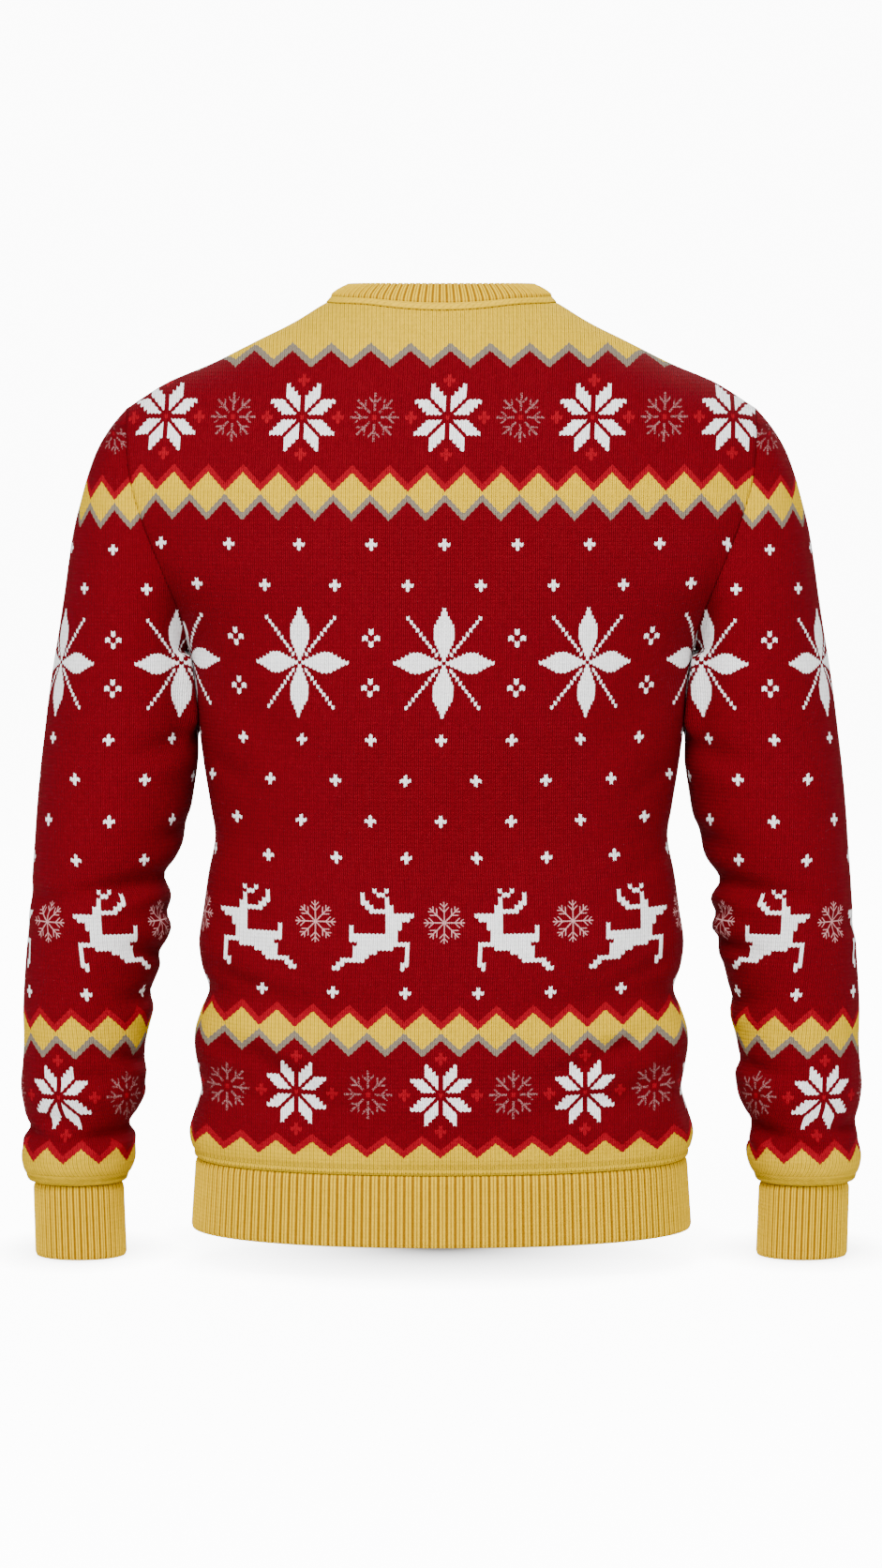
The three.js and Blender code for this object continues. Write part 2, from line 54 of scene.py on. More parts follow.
# How far the inner edge of a seam leans, so that no line of sight passes through it
SEAM_SLANT = 0.7
NECK_POINT_X = 88.0
SHOULDER_TIP = (240.0, -75.5)
ARMPIT_Z = -260.0
HEM_Z = -650.5
CUFF_Z = -673.0
SHOULDER_WIDE = 272.0
SECTION_POWER = 2.2
NECK_COLUMNS = 6
HALF_COLUMNS = 13
# Mesh steps: points to a column of a panel, the close rows over its hem seam, and a sleeve's rings
POINTS_PER_COLUMN = 7
HEM_ROWS = dict(height=9, step=0.9)
RINGS_PER_ROW = 5
POINTS_ROUND_SLEEVE = 120
BACK = dict(name="back", sign=1, depth=2, roll=(165, 120), neck_y=68, neck_power=1.0, cut=0)
FRONT = dict(name="front", sign=-1, depth=3, roll=(350, 140), neck_y=88, neck_power=0.6, cut=8)

# Height; half width at the side seam; depth of the back and of the front
BODY = np.array([
    (-650.5, 188, 121, 127), (-641, 192.5, 125, 131), (-630, 194.2, 127, 133), (-615, 190, 126, 132),
    (-598, 185, 124.5, 130), (-583, 187.2, 124, 129.5), (-566, 190, 124, 129),
    (-552, 189.4, 123.5, 128.5), (-537, 184.7, 122.5, 128), (-521, 178.8, 121, 127),
    (-503, 184.2, 120.5, 126), (-484, 186.4, 119.5, 125), (-460, 183, 117, 123),
    (-432, 179, 113.5, 120.5), (-404, 173.8, 110.5, 118.5), (-380, 177.2, 110, 118.5),
    (-350, 182, 111, 120), (-318, 186.2, 113, 122.5), (-286, 189.8, 114.5, 124.5),
    (-260, 194, 115.5, 126),
])
# Height; where the armhole seam lies; the half width that the section would have there
ARMHOLE = np.array([
    (-260, 194, 194), (-245, 195.6, 199.8), (-230, 199.5, 210), (-200, 211, 236), (-168, 224, 250),
    (-130, 236, 263), (-100, 239.6, 267), (-75.5, 240, 272), (20, 240, 272),
])
# Distance from the middle; height of the shoulder line
SHOULDER = np.array([
    (-50, 22.5), (0, 30), (50, 22.5), (88, 4.6), (112, -10), (141, -24.5), (176, -42), (210, -56.5),
    (240, -75.5),
])
# Folds of each panel, the long soft ones and then the finer creases:
# x, z, half length, half width, depth, slant
FOLDS = dict(
    back=[
        (118, -598, 62, 12, 5.5, 0.1), (-112, -602, 70, 12, 5, -0.12), (128, -524, 58, 14, 5, 0.18),
        (-132, -519, 50, 13, 4.6, -0.2), (142, -562, 40, 9, 9.5, 0.55), (-128, -560, 42, 9, 9, -0.4),
        (40, -618, 90, 10, 2.6, 0.03), (-150, -484, 40, 11, 4.4, -0.5), (148, -480, 38, 11, 4.4, 0.45),
        (150, -300, 52, 20, 4, 0.75), (-150, -304, 50, 20, 4, -0.75), (168, -560, 26, 6, 11.3, 0.34),
        (140, -579, 34, 7, 5.3, -0.1), (-172, -578, 24, 7, 11.9, -0.42), (-146, -560, 30, 6, 4.9, 0.22),
        (92, -632, 46, 7, 3.2, 0.05), (-60, -629, 54, 6, 2.7, -0.04), (-138, -634, 30, 6, 3.6, -0.1),
        (160, -505, 24, 6, 7.6, 0.3), (-163, -497, 26, 7, 8.1, -0.35), (158, -446, 22, 9, 5.4, 0.45),
        (-160, -420, 24, 9, 5.9, -0.5), (168, -345, 20, 9, 7, 0.6), (-168, -352, 22, 9, 7, -0.6),
        (205, -228, 20, 9, 7, 0.95), (-204, -231, 22, 9, 7, -0.95),
    ],
    front=[
        (108, -604, 66, 12, 5.2, 0.14), (-120, -596, 60, 12, 5, -0.08), (134, -517, 52, 13, 4.6, 0.16),
        (-124, -526, 60, 14, 4.8, -0.22), (134, -556, 40, 10, 5.4, 0.45), (-138, -566, 42, 9, 5.6, -0.5),
        (152, -296, 54, 20, 4, 0.7), (-148, -301, 48, 20, 4, -0.8), (166, -564, 28, 7, 9.7, 0.3),
        (-170, -572, 26, 6, 10.3, -0.36), (132, -582, 36, 7, 4.5, 0.08), (-128, -560, 32, 7, 4.9, 0.16),
        (60, -631, 50, 6, 2.8, 0.04), (-84, -628, 44, 7, 3.2, -0.05), (158, -500, 26, 7, 7.6, 0.32),
        (-162, -508, 24, 6, 7.6, -0.28), (160, -430, 24, 9, 5.4, 0.5), (-158, -438, 22, 9, 5.4, -0.45),
        (168, -350, 22, 9, 6.5, 0.6), (-168, -344, 20, 9, 6.5, -0.6), (200, -230, 22, 9, 6.5, 0.9),
        (-201, -226, 20, 9, 6.5, -0.9),
    ],
)
# Left sleeve: outer x and z, underarm x and z, half depth, middle in y
SLEEVE = np.array([
    (240, -75.5, 194, -260, 60, -3), (251, -88, 195.6, -262.5, 60.6, -3),
    (262, -105, 196, -266, 61.2, -3), (270, -125, 195.6, -271, 61.5, -3),
    (276, -146, 194.6, -277, 61.5, -3), (281.5, -168, 193.4, -284, 61.5, -3),
    (285.5, -192, 192, -292, 61, -3), (289, -217, 190.6, -301, 60.5, -4),
    (293, -243, 189.2, -311, 60, -4), (297.4, -269, 188, -321, 59.5, -5),
    (301.4, -296, 187, -333, 59, -5), (305, -324, 187.4, -349, 58.5, -6),
    (308.6, -354, 190.4, -370, 58, -7), (311.4, -384, 195, -396, 57, -8),
    (313.4, -412, 203.5, -418, 55.5, -9), (315, -432, 210.8, -437, 54, -10),
    (316.3, -450, 208, -459, 54.5, -10), (317.8, -470, 210.4, -480, 54, -11),
    (319.8, -490, 216.4, -499, 52.5, -12), (321.5, -511, 221.2, -520, 51, -13),
    (323, -538, 223.8, -544, 50, -14), (322.6, -562, 228.8, -567, 48.5, -15),
    (323.6, -580, 228, -586, 48.5, -16), (325.2, -600, 229.4, -605, 48.5, -17),
    (321.6, -625, 238.4, -626, 43.5, -18), (322.4, -640, 237.2, -641, 44, -18),
    (325.2, -654, 236.8, -655, 45.5, -19), (322, -667, 241.2, -666, 41.5, -19),
    (316, -673, 246.2, -672.5, 36.5, -19),
])
FADE_RINGS = 5
CUFF_BEAD = (-655, -660)
# Where a sleeve lies along the body: gap, lower and upper end, and how close cloth is drawn to it
BESIDE = dict(gap=1.0, low=(-340, -314), high=(-264, -260.4), near=(8, 20))
UPPER_ARM_HALF = 51.0
# Hollow that runs down each armhole seam to the armpit: depth behind and in front, height, reach, width
ARM_HOLLOW = dict(back=9.0, front=7.0, z=-236, reach=40, wide=9)
# Creases of the left sleeve (1) and the right (-1): turn from the outer edge (behind is positive), z,
# reach, half width, depth, slant. Each has a soft ridge under it, a share of its depth.
SLEEVE_CREASES = {
    1: [
        (1.95, -440, 0.8, 7, 8, 7), (2.9, -462, 0.6, 7, 4.6, -5), (2.7, -492, 0.6, 6, 5.2, -6),
        (2.6, -526, 0.5, 7, 4.8, 5), (0.6, -452, 0.5, 8, 4, -6), (2.5, -574, 0.55, 6, 5.2, -6),
        (1.6, -589, 0.5, 7, 3.2, 4), (2.15, -634, 0.75, 5.5, 7.4, 5), (0.5, -633, 0.5, 5.5, 5.6, -6),
        (1.1, -622, 0.5, 6, 3.4, -4), (2.8, -398, 0.5, 9, 4.4, 8), (2.4, -330, 0.6, 10, 4.8, 12),
        (-2.4, -442, 0.7, 7, 7.2, -9), (-1.9, -466, 0.6, 6, 4.8, 5), (-2.6, -530, 0.5, 7, 4.8, -5),
        (-2.4, -590, 0.6, 6, 4.8, 6), (-2.5, -630, 0.6, 5.5, 6.4, -7), (-0.7, -634, 0.6, 5.5, 4.8, 5),
    ],
    -1: [
        (2.1, -442, 0.8, 7, 8, 7), (2.9, -462, 0.6, 7, 4.6, -6), (2.7, -487, 0.6, 6, 5.6, 6),
        (2.6, -531, 0.5, 7, 4.4, -5), (0.6, -470, 0.5, 8, 3.6, 5), (2.5, -581, 0.6, 6, 5.2, 6),
        (2.4, -632, 0.65, 5.5, 7.2, 7), (0.6, -628, 0.5, 5.5, 5.2, -5), (1.5, -643, 0.6, 5, 3.6, -2),
        (2.8, -404, 0.5, 9, 4.8, 8), (2.4, -336, 0.6, 10, 4.4, 12), (-2.5, -446, 0.7, 7, 6.8, -9),
        (-2, -427, 0.6, 6, 4.8, -6), (-2.6, -525, 0.5, 7, 4.4, 5), (-2.4, -584, 0.6, 6, 5.2, -6),
        (-2.5, -634, 0.6, 5.5, 6, 7), (-0.8, -631, 0.6, 5.5, 4.4, -5),
    ],
}
RIDGE = dict(share=0.4, below=1.7)
SEAM_FACE = dict(top=(0.45, 0, 0.89), side=(0.3, 0.95, 0), underarm=(0.08, 0, -1))
# Neck band: rows up its outer face, angles of its rounded top, how far it bulges and where it ends
NECK_ROWS = np.concatenate([np.linspace(0, 0.3, 11), np.linspace(0.36, 1, 9)])
NECK_ROUNDING = (25, 50, 75, 90)
NECK_CROWN = 1.6
NECK_TOP = dict(half=72, back_y=54, front_y=76, front_power=0.7, back_z=18, front_z=-50, bend=0.1)

# Chart: the wales draw together beside the waist, and round towards the side seams
DRAWN_IN = dict(share=0.18, z=-300, reach=75, start=90, full=115)
ROUNDED = dict(share=0.045, half=185)
SIDE_WALES = dict(part=0.93, low=ARMPIT_Z - 5, high=ARMPIT_Z + 45)
# Least climb of the chart along the cloth where a panel rolls over the shoulder
LEAST_CLIMB = 0.5
# Height; how far the middle of the colour bands lies from the middle of the body
BAND_MIDDLE = np.array([
    (-660, 0.9), (-600, 0.6), (-520, 0), (-462, -2.2), (-400, 0.3), (-330, 0.3), (-265, -1.8),
    (-140, -2.6), (-83, -4.6), (-35, -6.8), (20, -6.8),
])
# Height on a sleeve; course number of the chart there; x of the wale that is SLEEVE_KEY_WALE from
# the outer star
SLEEVE_KEY_WALE = 18
SLEEVE_CHART = np.array([
    (-668, 1.1, 243), (-642.4, 8.7, 243), (-603.2, 20.3, 242), (-571.5, 30.4, 243), (-538, 41, 243.5),
    (-522, 45.7, 245), (-467.7, 62.7, 248.5), (-420, 78.3, 250), (-387.9, 87.9, 251),
    (-357.2, 97.5, 251), (-327.3, 107.3, 251), (-268.5, 126.6, 249), (-211.6, 145.6, 249),
    (-182.4, 155.3, 249), (-166.8, 161.2, 249), (-131.9, 172.7, 250), (-94.4, 186.6, 251.4),
    (-75.5, 193.6, 252),
])

# Repeats in wales, and courses counted up from the hem seam
ZIGZAG_REPEAT = dict(low=9.12, top=9.18, yoke=9.85)
STAR_REPEAT = 36
STAR_COURSES = (20, 186)
LARGE_STAR_COURSE = 126
DEER_REPEAT = 64
DEER_TOP_COURSE = 70
NOSE_FROM_FOLD = 8
THIN_FLAKE_COURSE = 62.8
DEER_WALES = 20
# The deer's twenty courses from its antlers down, as runs of wales counted from its nose
DEER = [
    [(6, 6), (9, 9)], [(7, 8), (12, 12)], [(6, 6), (12, 12)], [(6, 6), (11, 12)], [(5, 6), (10, 11)],
    [(5, 10)], [(0, 6)], [(1, 6)], [(3, 6)], [(3, 6), (15, 15)], [(4, 6), (15, 15)], [(4, 15)],
    [(4, 15)], [(1, 13)], [(1, 1), (5, 14)], [(1, 1), (9, 14)], [(1, 1), (11, 14)], [(1, 1), (12, 17)],
    [(1, 2), (17, 18)], [(2, 2), (18, 19)],
]


# Form

def along(table, column, place):
    """Smooth values from one column of a table whose first column rises."""
    keys = table[:, 0]
    values = table[:, column]
    slopes = np.empty(len(keys))
    slopes[1:-1] = (values[2:] - values[:-2]) / (keys[2:] - keys[:-2])
    slopes[0] = (values[1] - values[0]) / (keys[1] - keys[0])
    slopes[-1] = (values[-1] - values[-2]) / (keys[-1] - keys[-2])
    held = np.clip(place, keys[0], keys[-1])
    i = np.clip(np.searchsorted(keys, held, "right") - 1, 0, len(keys) - 2)
    span = keys[i + 1] - keys[i]
    t = (held - keys[i]) / span
    rise = values[i + 1] - values[i]
    low = slopes[i] * span - rise
    high = rise - slopes[i + 1] * span
    return values[i] + t * rise + t * (1 - t) * ((1 - t) * low + t * high)


def smooth(low, high, value):
    t = np.clip((value - low) / (high - low), 0, 1)
    return t * t * (3 - 2 * t)


def unit(vectors):
    return vectors / np.maximum(np.linalg.norm(vectors, axis=-1, keepdims=True), 1e-9)


def roll_reach(panel, x):
    centre, tip = panel["roll"]
    return centre + (tip - centre) * smooth(0, SHOULDER_TIP[0], np.abs(x))


def roll_over(panel, x, z):
    below = np.maximum(along(SHOULDER, 1, np.abs(x)) - z, 0)
    left = 1 - np.minimum(below / roll_reach(panel, x), 1)
    return np.sqrt(1 - left * left)


def oblong(x, wide):
    part = np.minimum(np.abs(x) / wide, 1)
    return (1 - part ** SECTION_POWER) ** (1 / SECTION_POWER)


def fold_depth(panel, x, z):
    deep = np.zeros(np.broadcast(x, z).shape)
    for fx, fz, long, wide, depth, slant in FOLDS[panel["name"]]:
        run = (x - fx) / long
        off = (z - fz - slant * (x - fx)) / wide
        deep += depth * np.exp(-run * run - off * off)
    beside = (np.abs(x) - along(ARMHOLE, 1, z)) / ARM_HOLLOW["wide"]
    level = (z - ARM_HOLLOW["z"]) / ARM_HOLLOW["reach"]
    return deep + ARM_HOLLOW[panel["name"]] * np.exp(-beside * beside - level * level)


def armhole_bite(panel, z):
    reach = (SHOULDER_TIP[1] - ARMPIT_Z) / 2
    off = (z - ARMPIT_Z - reach) / reach
    return panel["cut"] * np.maximum(1 - off * off, 0)


def face_y(panel, x, z):
    armhole_wide = along(ARMHOLE, 2, z) - armhole_bite(panel, z)
    wide = np.where(z < ARMPIT_Z, along(BODY, 1, z), armhole_wide)
    full = along(BODY, panel["depth"], z) - fold_depth(panel, x, z)
    return panel["sign"] * (SEAM_GAP / 2 + full * oblong(x, wide) * roll_over(panel, x, z))


def upper_edge(panel, column):
    """Upper edge of a panel, by columns from the centre (0) to the shoulder tip (13)."""
    count = np.abs(column)
    angle = np.minimum(count / NECK_COLUMNS, 1) * np.pi / 2
    neck_x = NECK_POINT_X * np.sin(angle)
    full = BODY[-1, panel["depth"]] * oblong(neck_x, SHOULDER_WIDE)
    rolled = panel["neck_y"] * np.maximum(np.cos(angle), 0) ** panel["neck_power"] / full
    below = roll_reach(panel, neck_x) * (1 - np.sqrt(1 - rolled * rolled))
    neck_z = along(SHOULDER, 1, neck_x) - below
    part = np.clip((count - NECK_COLUMNS) / (HALF_COLUMNS - NECK_COLUMNS), 0, 1)
    x = np.where(count < NECK_COLUMNS, neck_x, NECK_POINT_X + part * (SHOULDER_TIP[0] - NECK_POINT_X))
    return x, np.where(count < NECK_COLUMNS, neck_z, along(SHOULDER, 1, x))


def armhole_seam(panel, turn):
    z = ARMPIT_Z + (SHOULDER_TIP[1] - ARMPIT_Z) * (1 + np.cos(turn)) / 2
    return along(ARMHOLE, 1, z) - armhole_bite(panel, z), z


def seam_face(panel_sign, turn):
    up = np.cos(turn)[..., None]
    top = np.array(SEAM_FACE["top"])
    underarm = np.array(SEAM_FACE["underarm"])
    side = np.array(SEAM_FACE["side"])
    face = np.where(up > 0, top, underarm) * np.abs(up) + side * np.sin(turn)[..., None]
    face[..., 1] *= panel_sign
    return unit(face)


def steps(rows, axis):
    """Steps between the neighbours of each point along one axis of a grid."""
    rows = np.moveaxis(rows, axis, 0)
    inside = rows[2:] - rows[:-2]
    return np.moveaxis(np.concatenate([rows[1:2] - rows[:1], inside, rows[-1:] - rows[-2:-1]]), 0, axis)


def grid_normals(rows, sign, wraps):
    across = np.roll(rows, -1, 1) - np.roll(rows, 1, 1) if wraps else steps(rows, 1)
    return unit(np.cross(across, steps(rows, 0)) * sign)


def piece_sizes():
    return bpy.context.scene.pullover_sizes


def panel_grid(panel):
    """Outer points, their normals and the columns of a panel, from the hem up."""
    course = piece_sizes().course * 1000
    columns = np.linspace(-HALF_COLUMNS, HALF_COLUMNS, 2 * HALF_COLUMNS * POINTS_PER_COLUMN + 1)
    low = np.sin(np.abs(columns) / HALF_COLUMNS * np.pi / 2)
    close = HEM_Z + np.arange(0, HEM_ROWS["height"], HEM_ROWS["step"])
    z_low = np.linspace(HEM_Z + HEM_ROWS["height"], ARMPIT_Z, int((ARMPIT_Z - HEM_Z) / course) + 1)[:-1]
    z_low = np.concatenate([close, z_low])
    x_low = np.sign(columns) * low * along(BODY, 1, z_low)[:, None]
    z_low = np.broadcast_to(z_low[:, None], x_low.shape)
    edge_x, edge_z = upper_edge(panel, columns)
    turn = np.linspace(np.pi, 0, int(1.3 * (SHOULDER_TIP[1] - ARMPIT_Z) / course) + 1)[:, None]
    seam_x, _ = armhole_seam(panel, turn)
    climb = (1 + np.cos(turn)) / 2
    part = low + (edge_x / SHOULDER_TIP[0] - low) * climb
    x_high = np.sign(columns) * part * seam_x
    z_high = ARMPIT_Z + (edge_z - ARMPIT_Z) * climb
    x = np.concatenate([x_low, x_high])
    z = np.concatenate([z_low, z_high])
    points = np.stack([x, face_y(panel, x, z), z], -1)
    normals = grid_normals(points, -panel["sign"], False)
    first_high = len(x_low)
    normals[0, :, 2] = 0
    normals[:, [0, -1], 1] = 0
    normals[-1, np.abs(columns) >= NECK_COLUMNS, 1] = 0
    face = seam_face(panel["sign"], turn[:, 0])
    normals[first_high:, -1] = face
    normals[first_high:, 0] = face * (-1, 1, 1)
    return points, unit(normals), columns


def panel_wales(points):
    """Wale number of every point of a panel, counted from the middle of the colour bands."""
    pitch = piece_sizes().wale * 1000
    x = points[..., 0]
    edge = np.abs(x[:, -1:])
    step = np.diff(x, axis=1)
    length = np.linalg.norm(np.diff(points, axis=1), axis=-1)
    middle = (x[:, 1:] + x[:, :-1]) / 2
    z = points[:, 1:, 2]
    drawn_in = DRAWN_IN["share"] * np.exp(-((z - DRAWN_IN["z"]) / DRAWN_IN["reach"]) ** 2)
    drawn_in = drawn_in * smooth(DRAWN_IN["start"], DRAWN_IN["full"], np.abs(middle))
    level = step * (1 + ROUNDED["share"] * (middle / ROUNDED["half"]) ** 2 + drawn_in)
    below_arm = 1 - smooth(SIDE_WALES["low"], SIDE_WALES["high"], z)
    at_side = smooth(SIDE_WALES["part"], 1.0, np.abs(middle) / edge) * below_arm
    run = np.concatenate([np.zeros_like(edge), np.cumsum(level + (length - level) * at_side, 1)], 1)
    run -= run[:, run.shape[1] // 2][:, None]
    offset = along(BAND_MIDDLE, 1, points[:, run.shape[1] // 2, 2])[:, None]
    return -(run - offset) / pitch


def panel_courses(points):
    """Course number of every point of a panel, held from stretching where it rolls over the shoulder."""
    sizes = piece_sizes()
    step = np.diff(points, axis=0)
    rise = np.maximum(step[..., 2], LEAST_CLIMB * np.hypot(step[..., 1], step[..., 2]))
    passed = np.concatenate([np.zeros((1, points.shape[1])), np.cumsum(rise, 0)])
    return sizes.neck_course + (points[:1, :, 2] + passed) / (sizes.course * 1000)


def beside_body(points):
    """Lets the inner side of a sleeve lie along the body, just clear of it."""
    x, y, z = np.moveaxis(points, -1, 0)
    deep = np.where(y > 0, along(BODY, 2, z), along(BODY, 3, z))
    away = x - along(BODY, 1, z) * oblong(y, deep) - BESIDE["gap"]
    level = smooth(*BESIDE["low"], z) * (1 - smooth(*BESIDE["high"], z))
    moved = points.copy()
    moved[..., 0] -= away * level * (1 - smooth(*BESIDE["near"], away))
    return moved


def creased(points, normals, side, turns):
    """Troughs across a sleeve, each with a soft ridge under it."""
    deep = np.zeros(points.shape[:2])
    for at, height, reach, wide, depth, slant in SLEEVE_CREASES[side]:
        apart = (turns - at + np.pi) % (2 * np.pi) - np.pi
        off = (points[..., 2] - height - slant * apart) / wide
        trough = np.exp(-off * off) - RIDGE["share"] * np.exp(-(off + RIDGE["below"]) ** 2)
        deep += depth * trough * np.exp(-(apart / reach) ** 2)
    return points - normals * deep[..., None]


def sleeve_rings(side):
    """Outer points and normals of a sleeve, as a left one, ring by ring from the armhole."""
    turns = np.linspace(np.pi, -np.pi, POINTS_ROUND_SLEEVE + 1)[:-1]
    sign = np.where(turns >= 0, 1.0, -1.0)
    turn = np.abs(turns)
    start = np.empty((len(turns), 3))
    face = np.empty((len(turns), 3))
    for panel in (BACK, FRONT):
        mine = sign == panel["sign"]
        x, z = armhole_seam(panel, turn[mine])
        start[mine] = np.stack([x, face_y(panel, x, z), z], -1)
        face[mine] = seam_face(panel["sign"], turn[mine])
    tangent = np.roll(start, -1, 0) - np.roll(start, 1, 0)
    start += unit(np.cross(face, tangent)) * SEAM_GAP
    count = (len(SLEEVE) - 1) * RINGS_PER_ROW + 1
    ring = np.linspace(0, len(SLEEVE) - 1, count)
    keyed = np.column_stack([np.arange(len(SLEEVE)), SLEEVE])
    out_x, out_z, in_x, in_z, deep, mid_y = (along(keyed, c, ring)[:, None] for c in range(1, 7))
    reach = (1 + np.cos(turns)) / 2

    def ellipse(k):
        x = in_x[k] + (out_x[k] - in_x[k]) * reach
        z = in_z[k] + (out_z[k] - in_z[k]) * reach
        return np.stack([x, mid_y[k] + deep[k] * np.sin(turns), z], -1)

    stray = start - ellipse(0)
    fade = np.maximum(1 - ring / FADE_RINGS, 0) ** 2
    points = beside_body(np.stack([ellipse(k) + stray * fade[k] for k in range(count)]))
    points = creased(points, grid_normals(points, 1, True), side, turns)
    normals = grid_normals(points, 1, True)
    normals[0] = face
    normals[-1, :, 2] = 0
    return points, unit(normals)


def sleeve_chart(points):
    """Wale and course numbers of every point of the left sleeve, with its first column repeated."""
    pitch = piece_sizes().sleeve_wale * 1000
    x, y, z = np.moveaxis(np.concatenate([points, points[:, :1]], 1), -1, 0)
    outer = SLEEVE[::-1][:, [1, 0, 4, 5]]
    under = SLEEVE[::-1][:, [3, 2]]
    out_x = along(outer, 1, z)
    half = np.where(z < ARMPIT_Z, (out_x - along(under, 1, z)) / 2, UPPER_ARM_HALF)
    deep = along(outer, 2, z)
    mid_y = along(outer, 3, z)
    mid_x = out_x - half
    turn = np.arctan2((y - mid_y) / deep, (x - mid_x) / half)
    middle = turn.shape[1] // 2
    turn = np.concatenate([np.unwrap(turn[:, middle::-1], axis=1)[:, ::-1],
                           np.unwrap(turn[:, middle:], axis=1)[:, 1:]], 1)
    key_turn = np.arccos(np.clip((along(SLEEVE_CHART, 2, z) - mid_x) / half, -1, 1))
    wale = SLEEVE_KEY_WALE + (turn - key_turn) * (half + deep) / 2 / pitch
    return wale, along(SLEEVE_CHART, 1, z)


# Meshes

# Bake map: the outer face and the inner face across, both up, and how far the rims reach
BAKE = dict(outer=(0.02, 0.80), inner=(0.84, 0.98), up=(0.03, 0.97), row_rim=0.012, column_rim=0.008)


def placed(name, data):
    """A new object in the scene."""
    made = bpy.data.objects.new(name, data)
    bpy.context.scene.collection.objects.link(made)
    return made


def bake_map(rows, columns, face):
    across = np.linspace(*BAKE[face], columns)
    up = np.linspace(*BAKE["up"], rows)
    return np.stack(np.broadcast_arrays(across[None, :], up[:, None]), -1)


def wall_mesh(name, outer, inner, wales, courses, wraps):
    """One closed wall between two grids of points in millimetres, with its stitch and bake maps."""
    rows, columns = outer.shape[:2]
    wide = columns + 1 if wraps else columns
    index = np.arange(rows * columns).reshape(rows, columns)
    if wraps:
        index = np.concatenate([index, index[:, :1]], 1)
    stitch = np.stack([wales, courses], -1)
    shown = bake_map(rows, wide, "outer")
    hidden = bake_map(rows, wide, "inner")
    faces = []
    maps = []

    def strip(corners, stitches, places):
        faces.append(np.stack(corners, -1).reshape(-1, 4))
        maps.append((np.stack(stitches, -2).reshape(-1, 4, 2), np.stack(places, -2).reshape(-1, 4, 2)))

    def four(grid):
        return [grid[:-1, :-1], grid[:-1, 1:], grid[1:, 1:], grid[1:, :-1]]

    strip(four(index), four(stitch), four(shown))
    back = index + rows * columns
    strip(four(back)[::-1], four(stitch)[::-1], four(hidden)[::-1])
    later, sooner = slice(1, None), slice(None, -1)

    def rim(line, first, second, away):
        """Closes the wall along one edge of its two grids."""
        front, behind, marks, spots = (grid[line] for grid in (index, back, stitch, shown))
        corners = [front[first], front[second], behind[second], behind[first]]
        stitches = [marks[first], marks[second], marks[second], marks[first]]
        places = [spots[first], spots[second], spots[second] + away, spots[first] + away]
        order = slice(None, None, -1 if sum(away) > 0 else 1)
        strip(corners[order], stitches[order], places[order])

    for row, away in ((0, -BAKE["row_rim"]), (rows - 1, BAKE["row_rim"])):
        rim(row, later, sooner, np.array([0, away]))
    if not wraps:
        for column, away in ((0, -BAKE["column_rim"]), (columns - 1, BAKE["column_rim"])):
            rim((slice(None), column), sooner, later, np.array([away, 0]))
    quads = np.concatenate(faces)
    stitches = np.concatenate([m[0] for m in maps])
    places = np.concatenate([m[1] for m in maps])
    points = np.concatenate([outer.reshape(-1, 3), inner.reshape(-1, 3)]) / 1000
    a, b, c, d = (points[quads[:, k]] for k in range(4))
    if (a * np.cross(b, c)).sum() + (a * np.cross(c, d)).sum() < 0:
        quads = quads[:, ::-1]
        stitches = stitches[:, ::-1]
        places = places[:, ::-1]
    mesh = bpy.data.meshes.new(name)
    mesh.vertices.add(len(points))
    mesh.vertices.foreach_set("co", points.ravel())
    mesh.loops.add(quads.size)
    mesh.loops.foreach_set("vertex_index", quads.ravel())
    mesh.polygons.add(len(quads))
    mesh.polygons.foreach_set("loop_start", np.arange(0, quads.size, 4))
    mesh.update(calc_edges=True)
    mesh.polygons.foreach_set("use_smooth", np.ones(len(quads), bool))
    for layer, values in (("Stitches", stitches), ("OFBake", places)):
        mesh.uv_layers.new(name=layer).data.foreach_set("uv", values.ravel())
    mesh.validate()
    return placed(name, mesh)


def seat(made, node, slot):
    """Puts a finished piece in the frame in place of its node, dressed with its slot's material."""
    made.data.materials.append(slot_material(slot))
    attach(made, "root")
    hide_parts(node)


# Materials

def joined(tree, entry, value):
    """Puts a number, a colour or the output of another node into an entry of a node."""
    if isinstance(value, Term):
        value = value.socket
    if isinstance(value, bpy.types.NodeSocket):
        tree.links.new(value, entry)
    else:
        entry.default_value = value


def new_node(tree, kind, entries, **settings):
    node = tree.nodes.new("ShaderNode" + kind)
    for name, value in settings.items():
        setattr(node, name, value)
    for key, value in entries.items():
        joined(tree, node.inputs[key], value)
    return node


def combined(tree, operation, *values):
    """One step of arithmetic over terms and numbers."""
    node = new_node(tree, "Math", dict(enumerate(values)), operation=operation)
    return Term(tree, node.outputs[0])


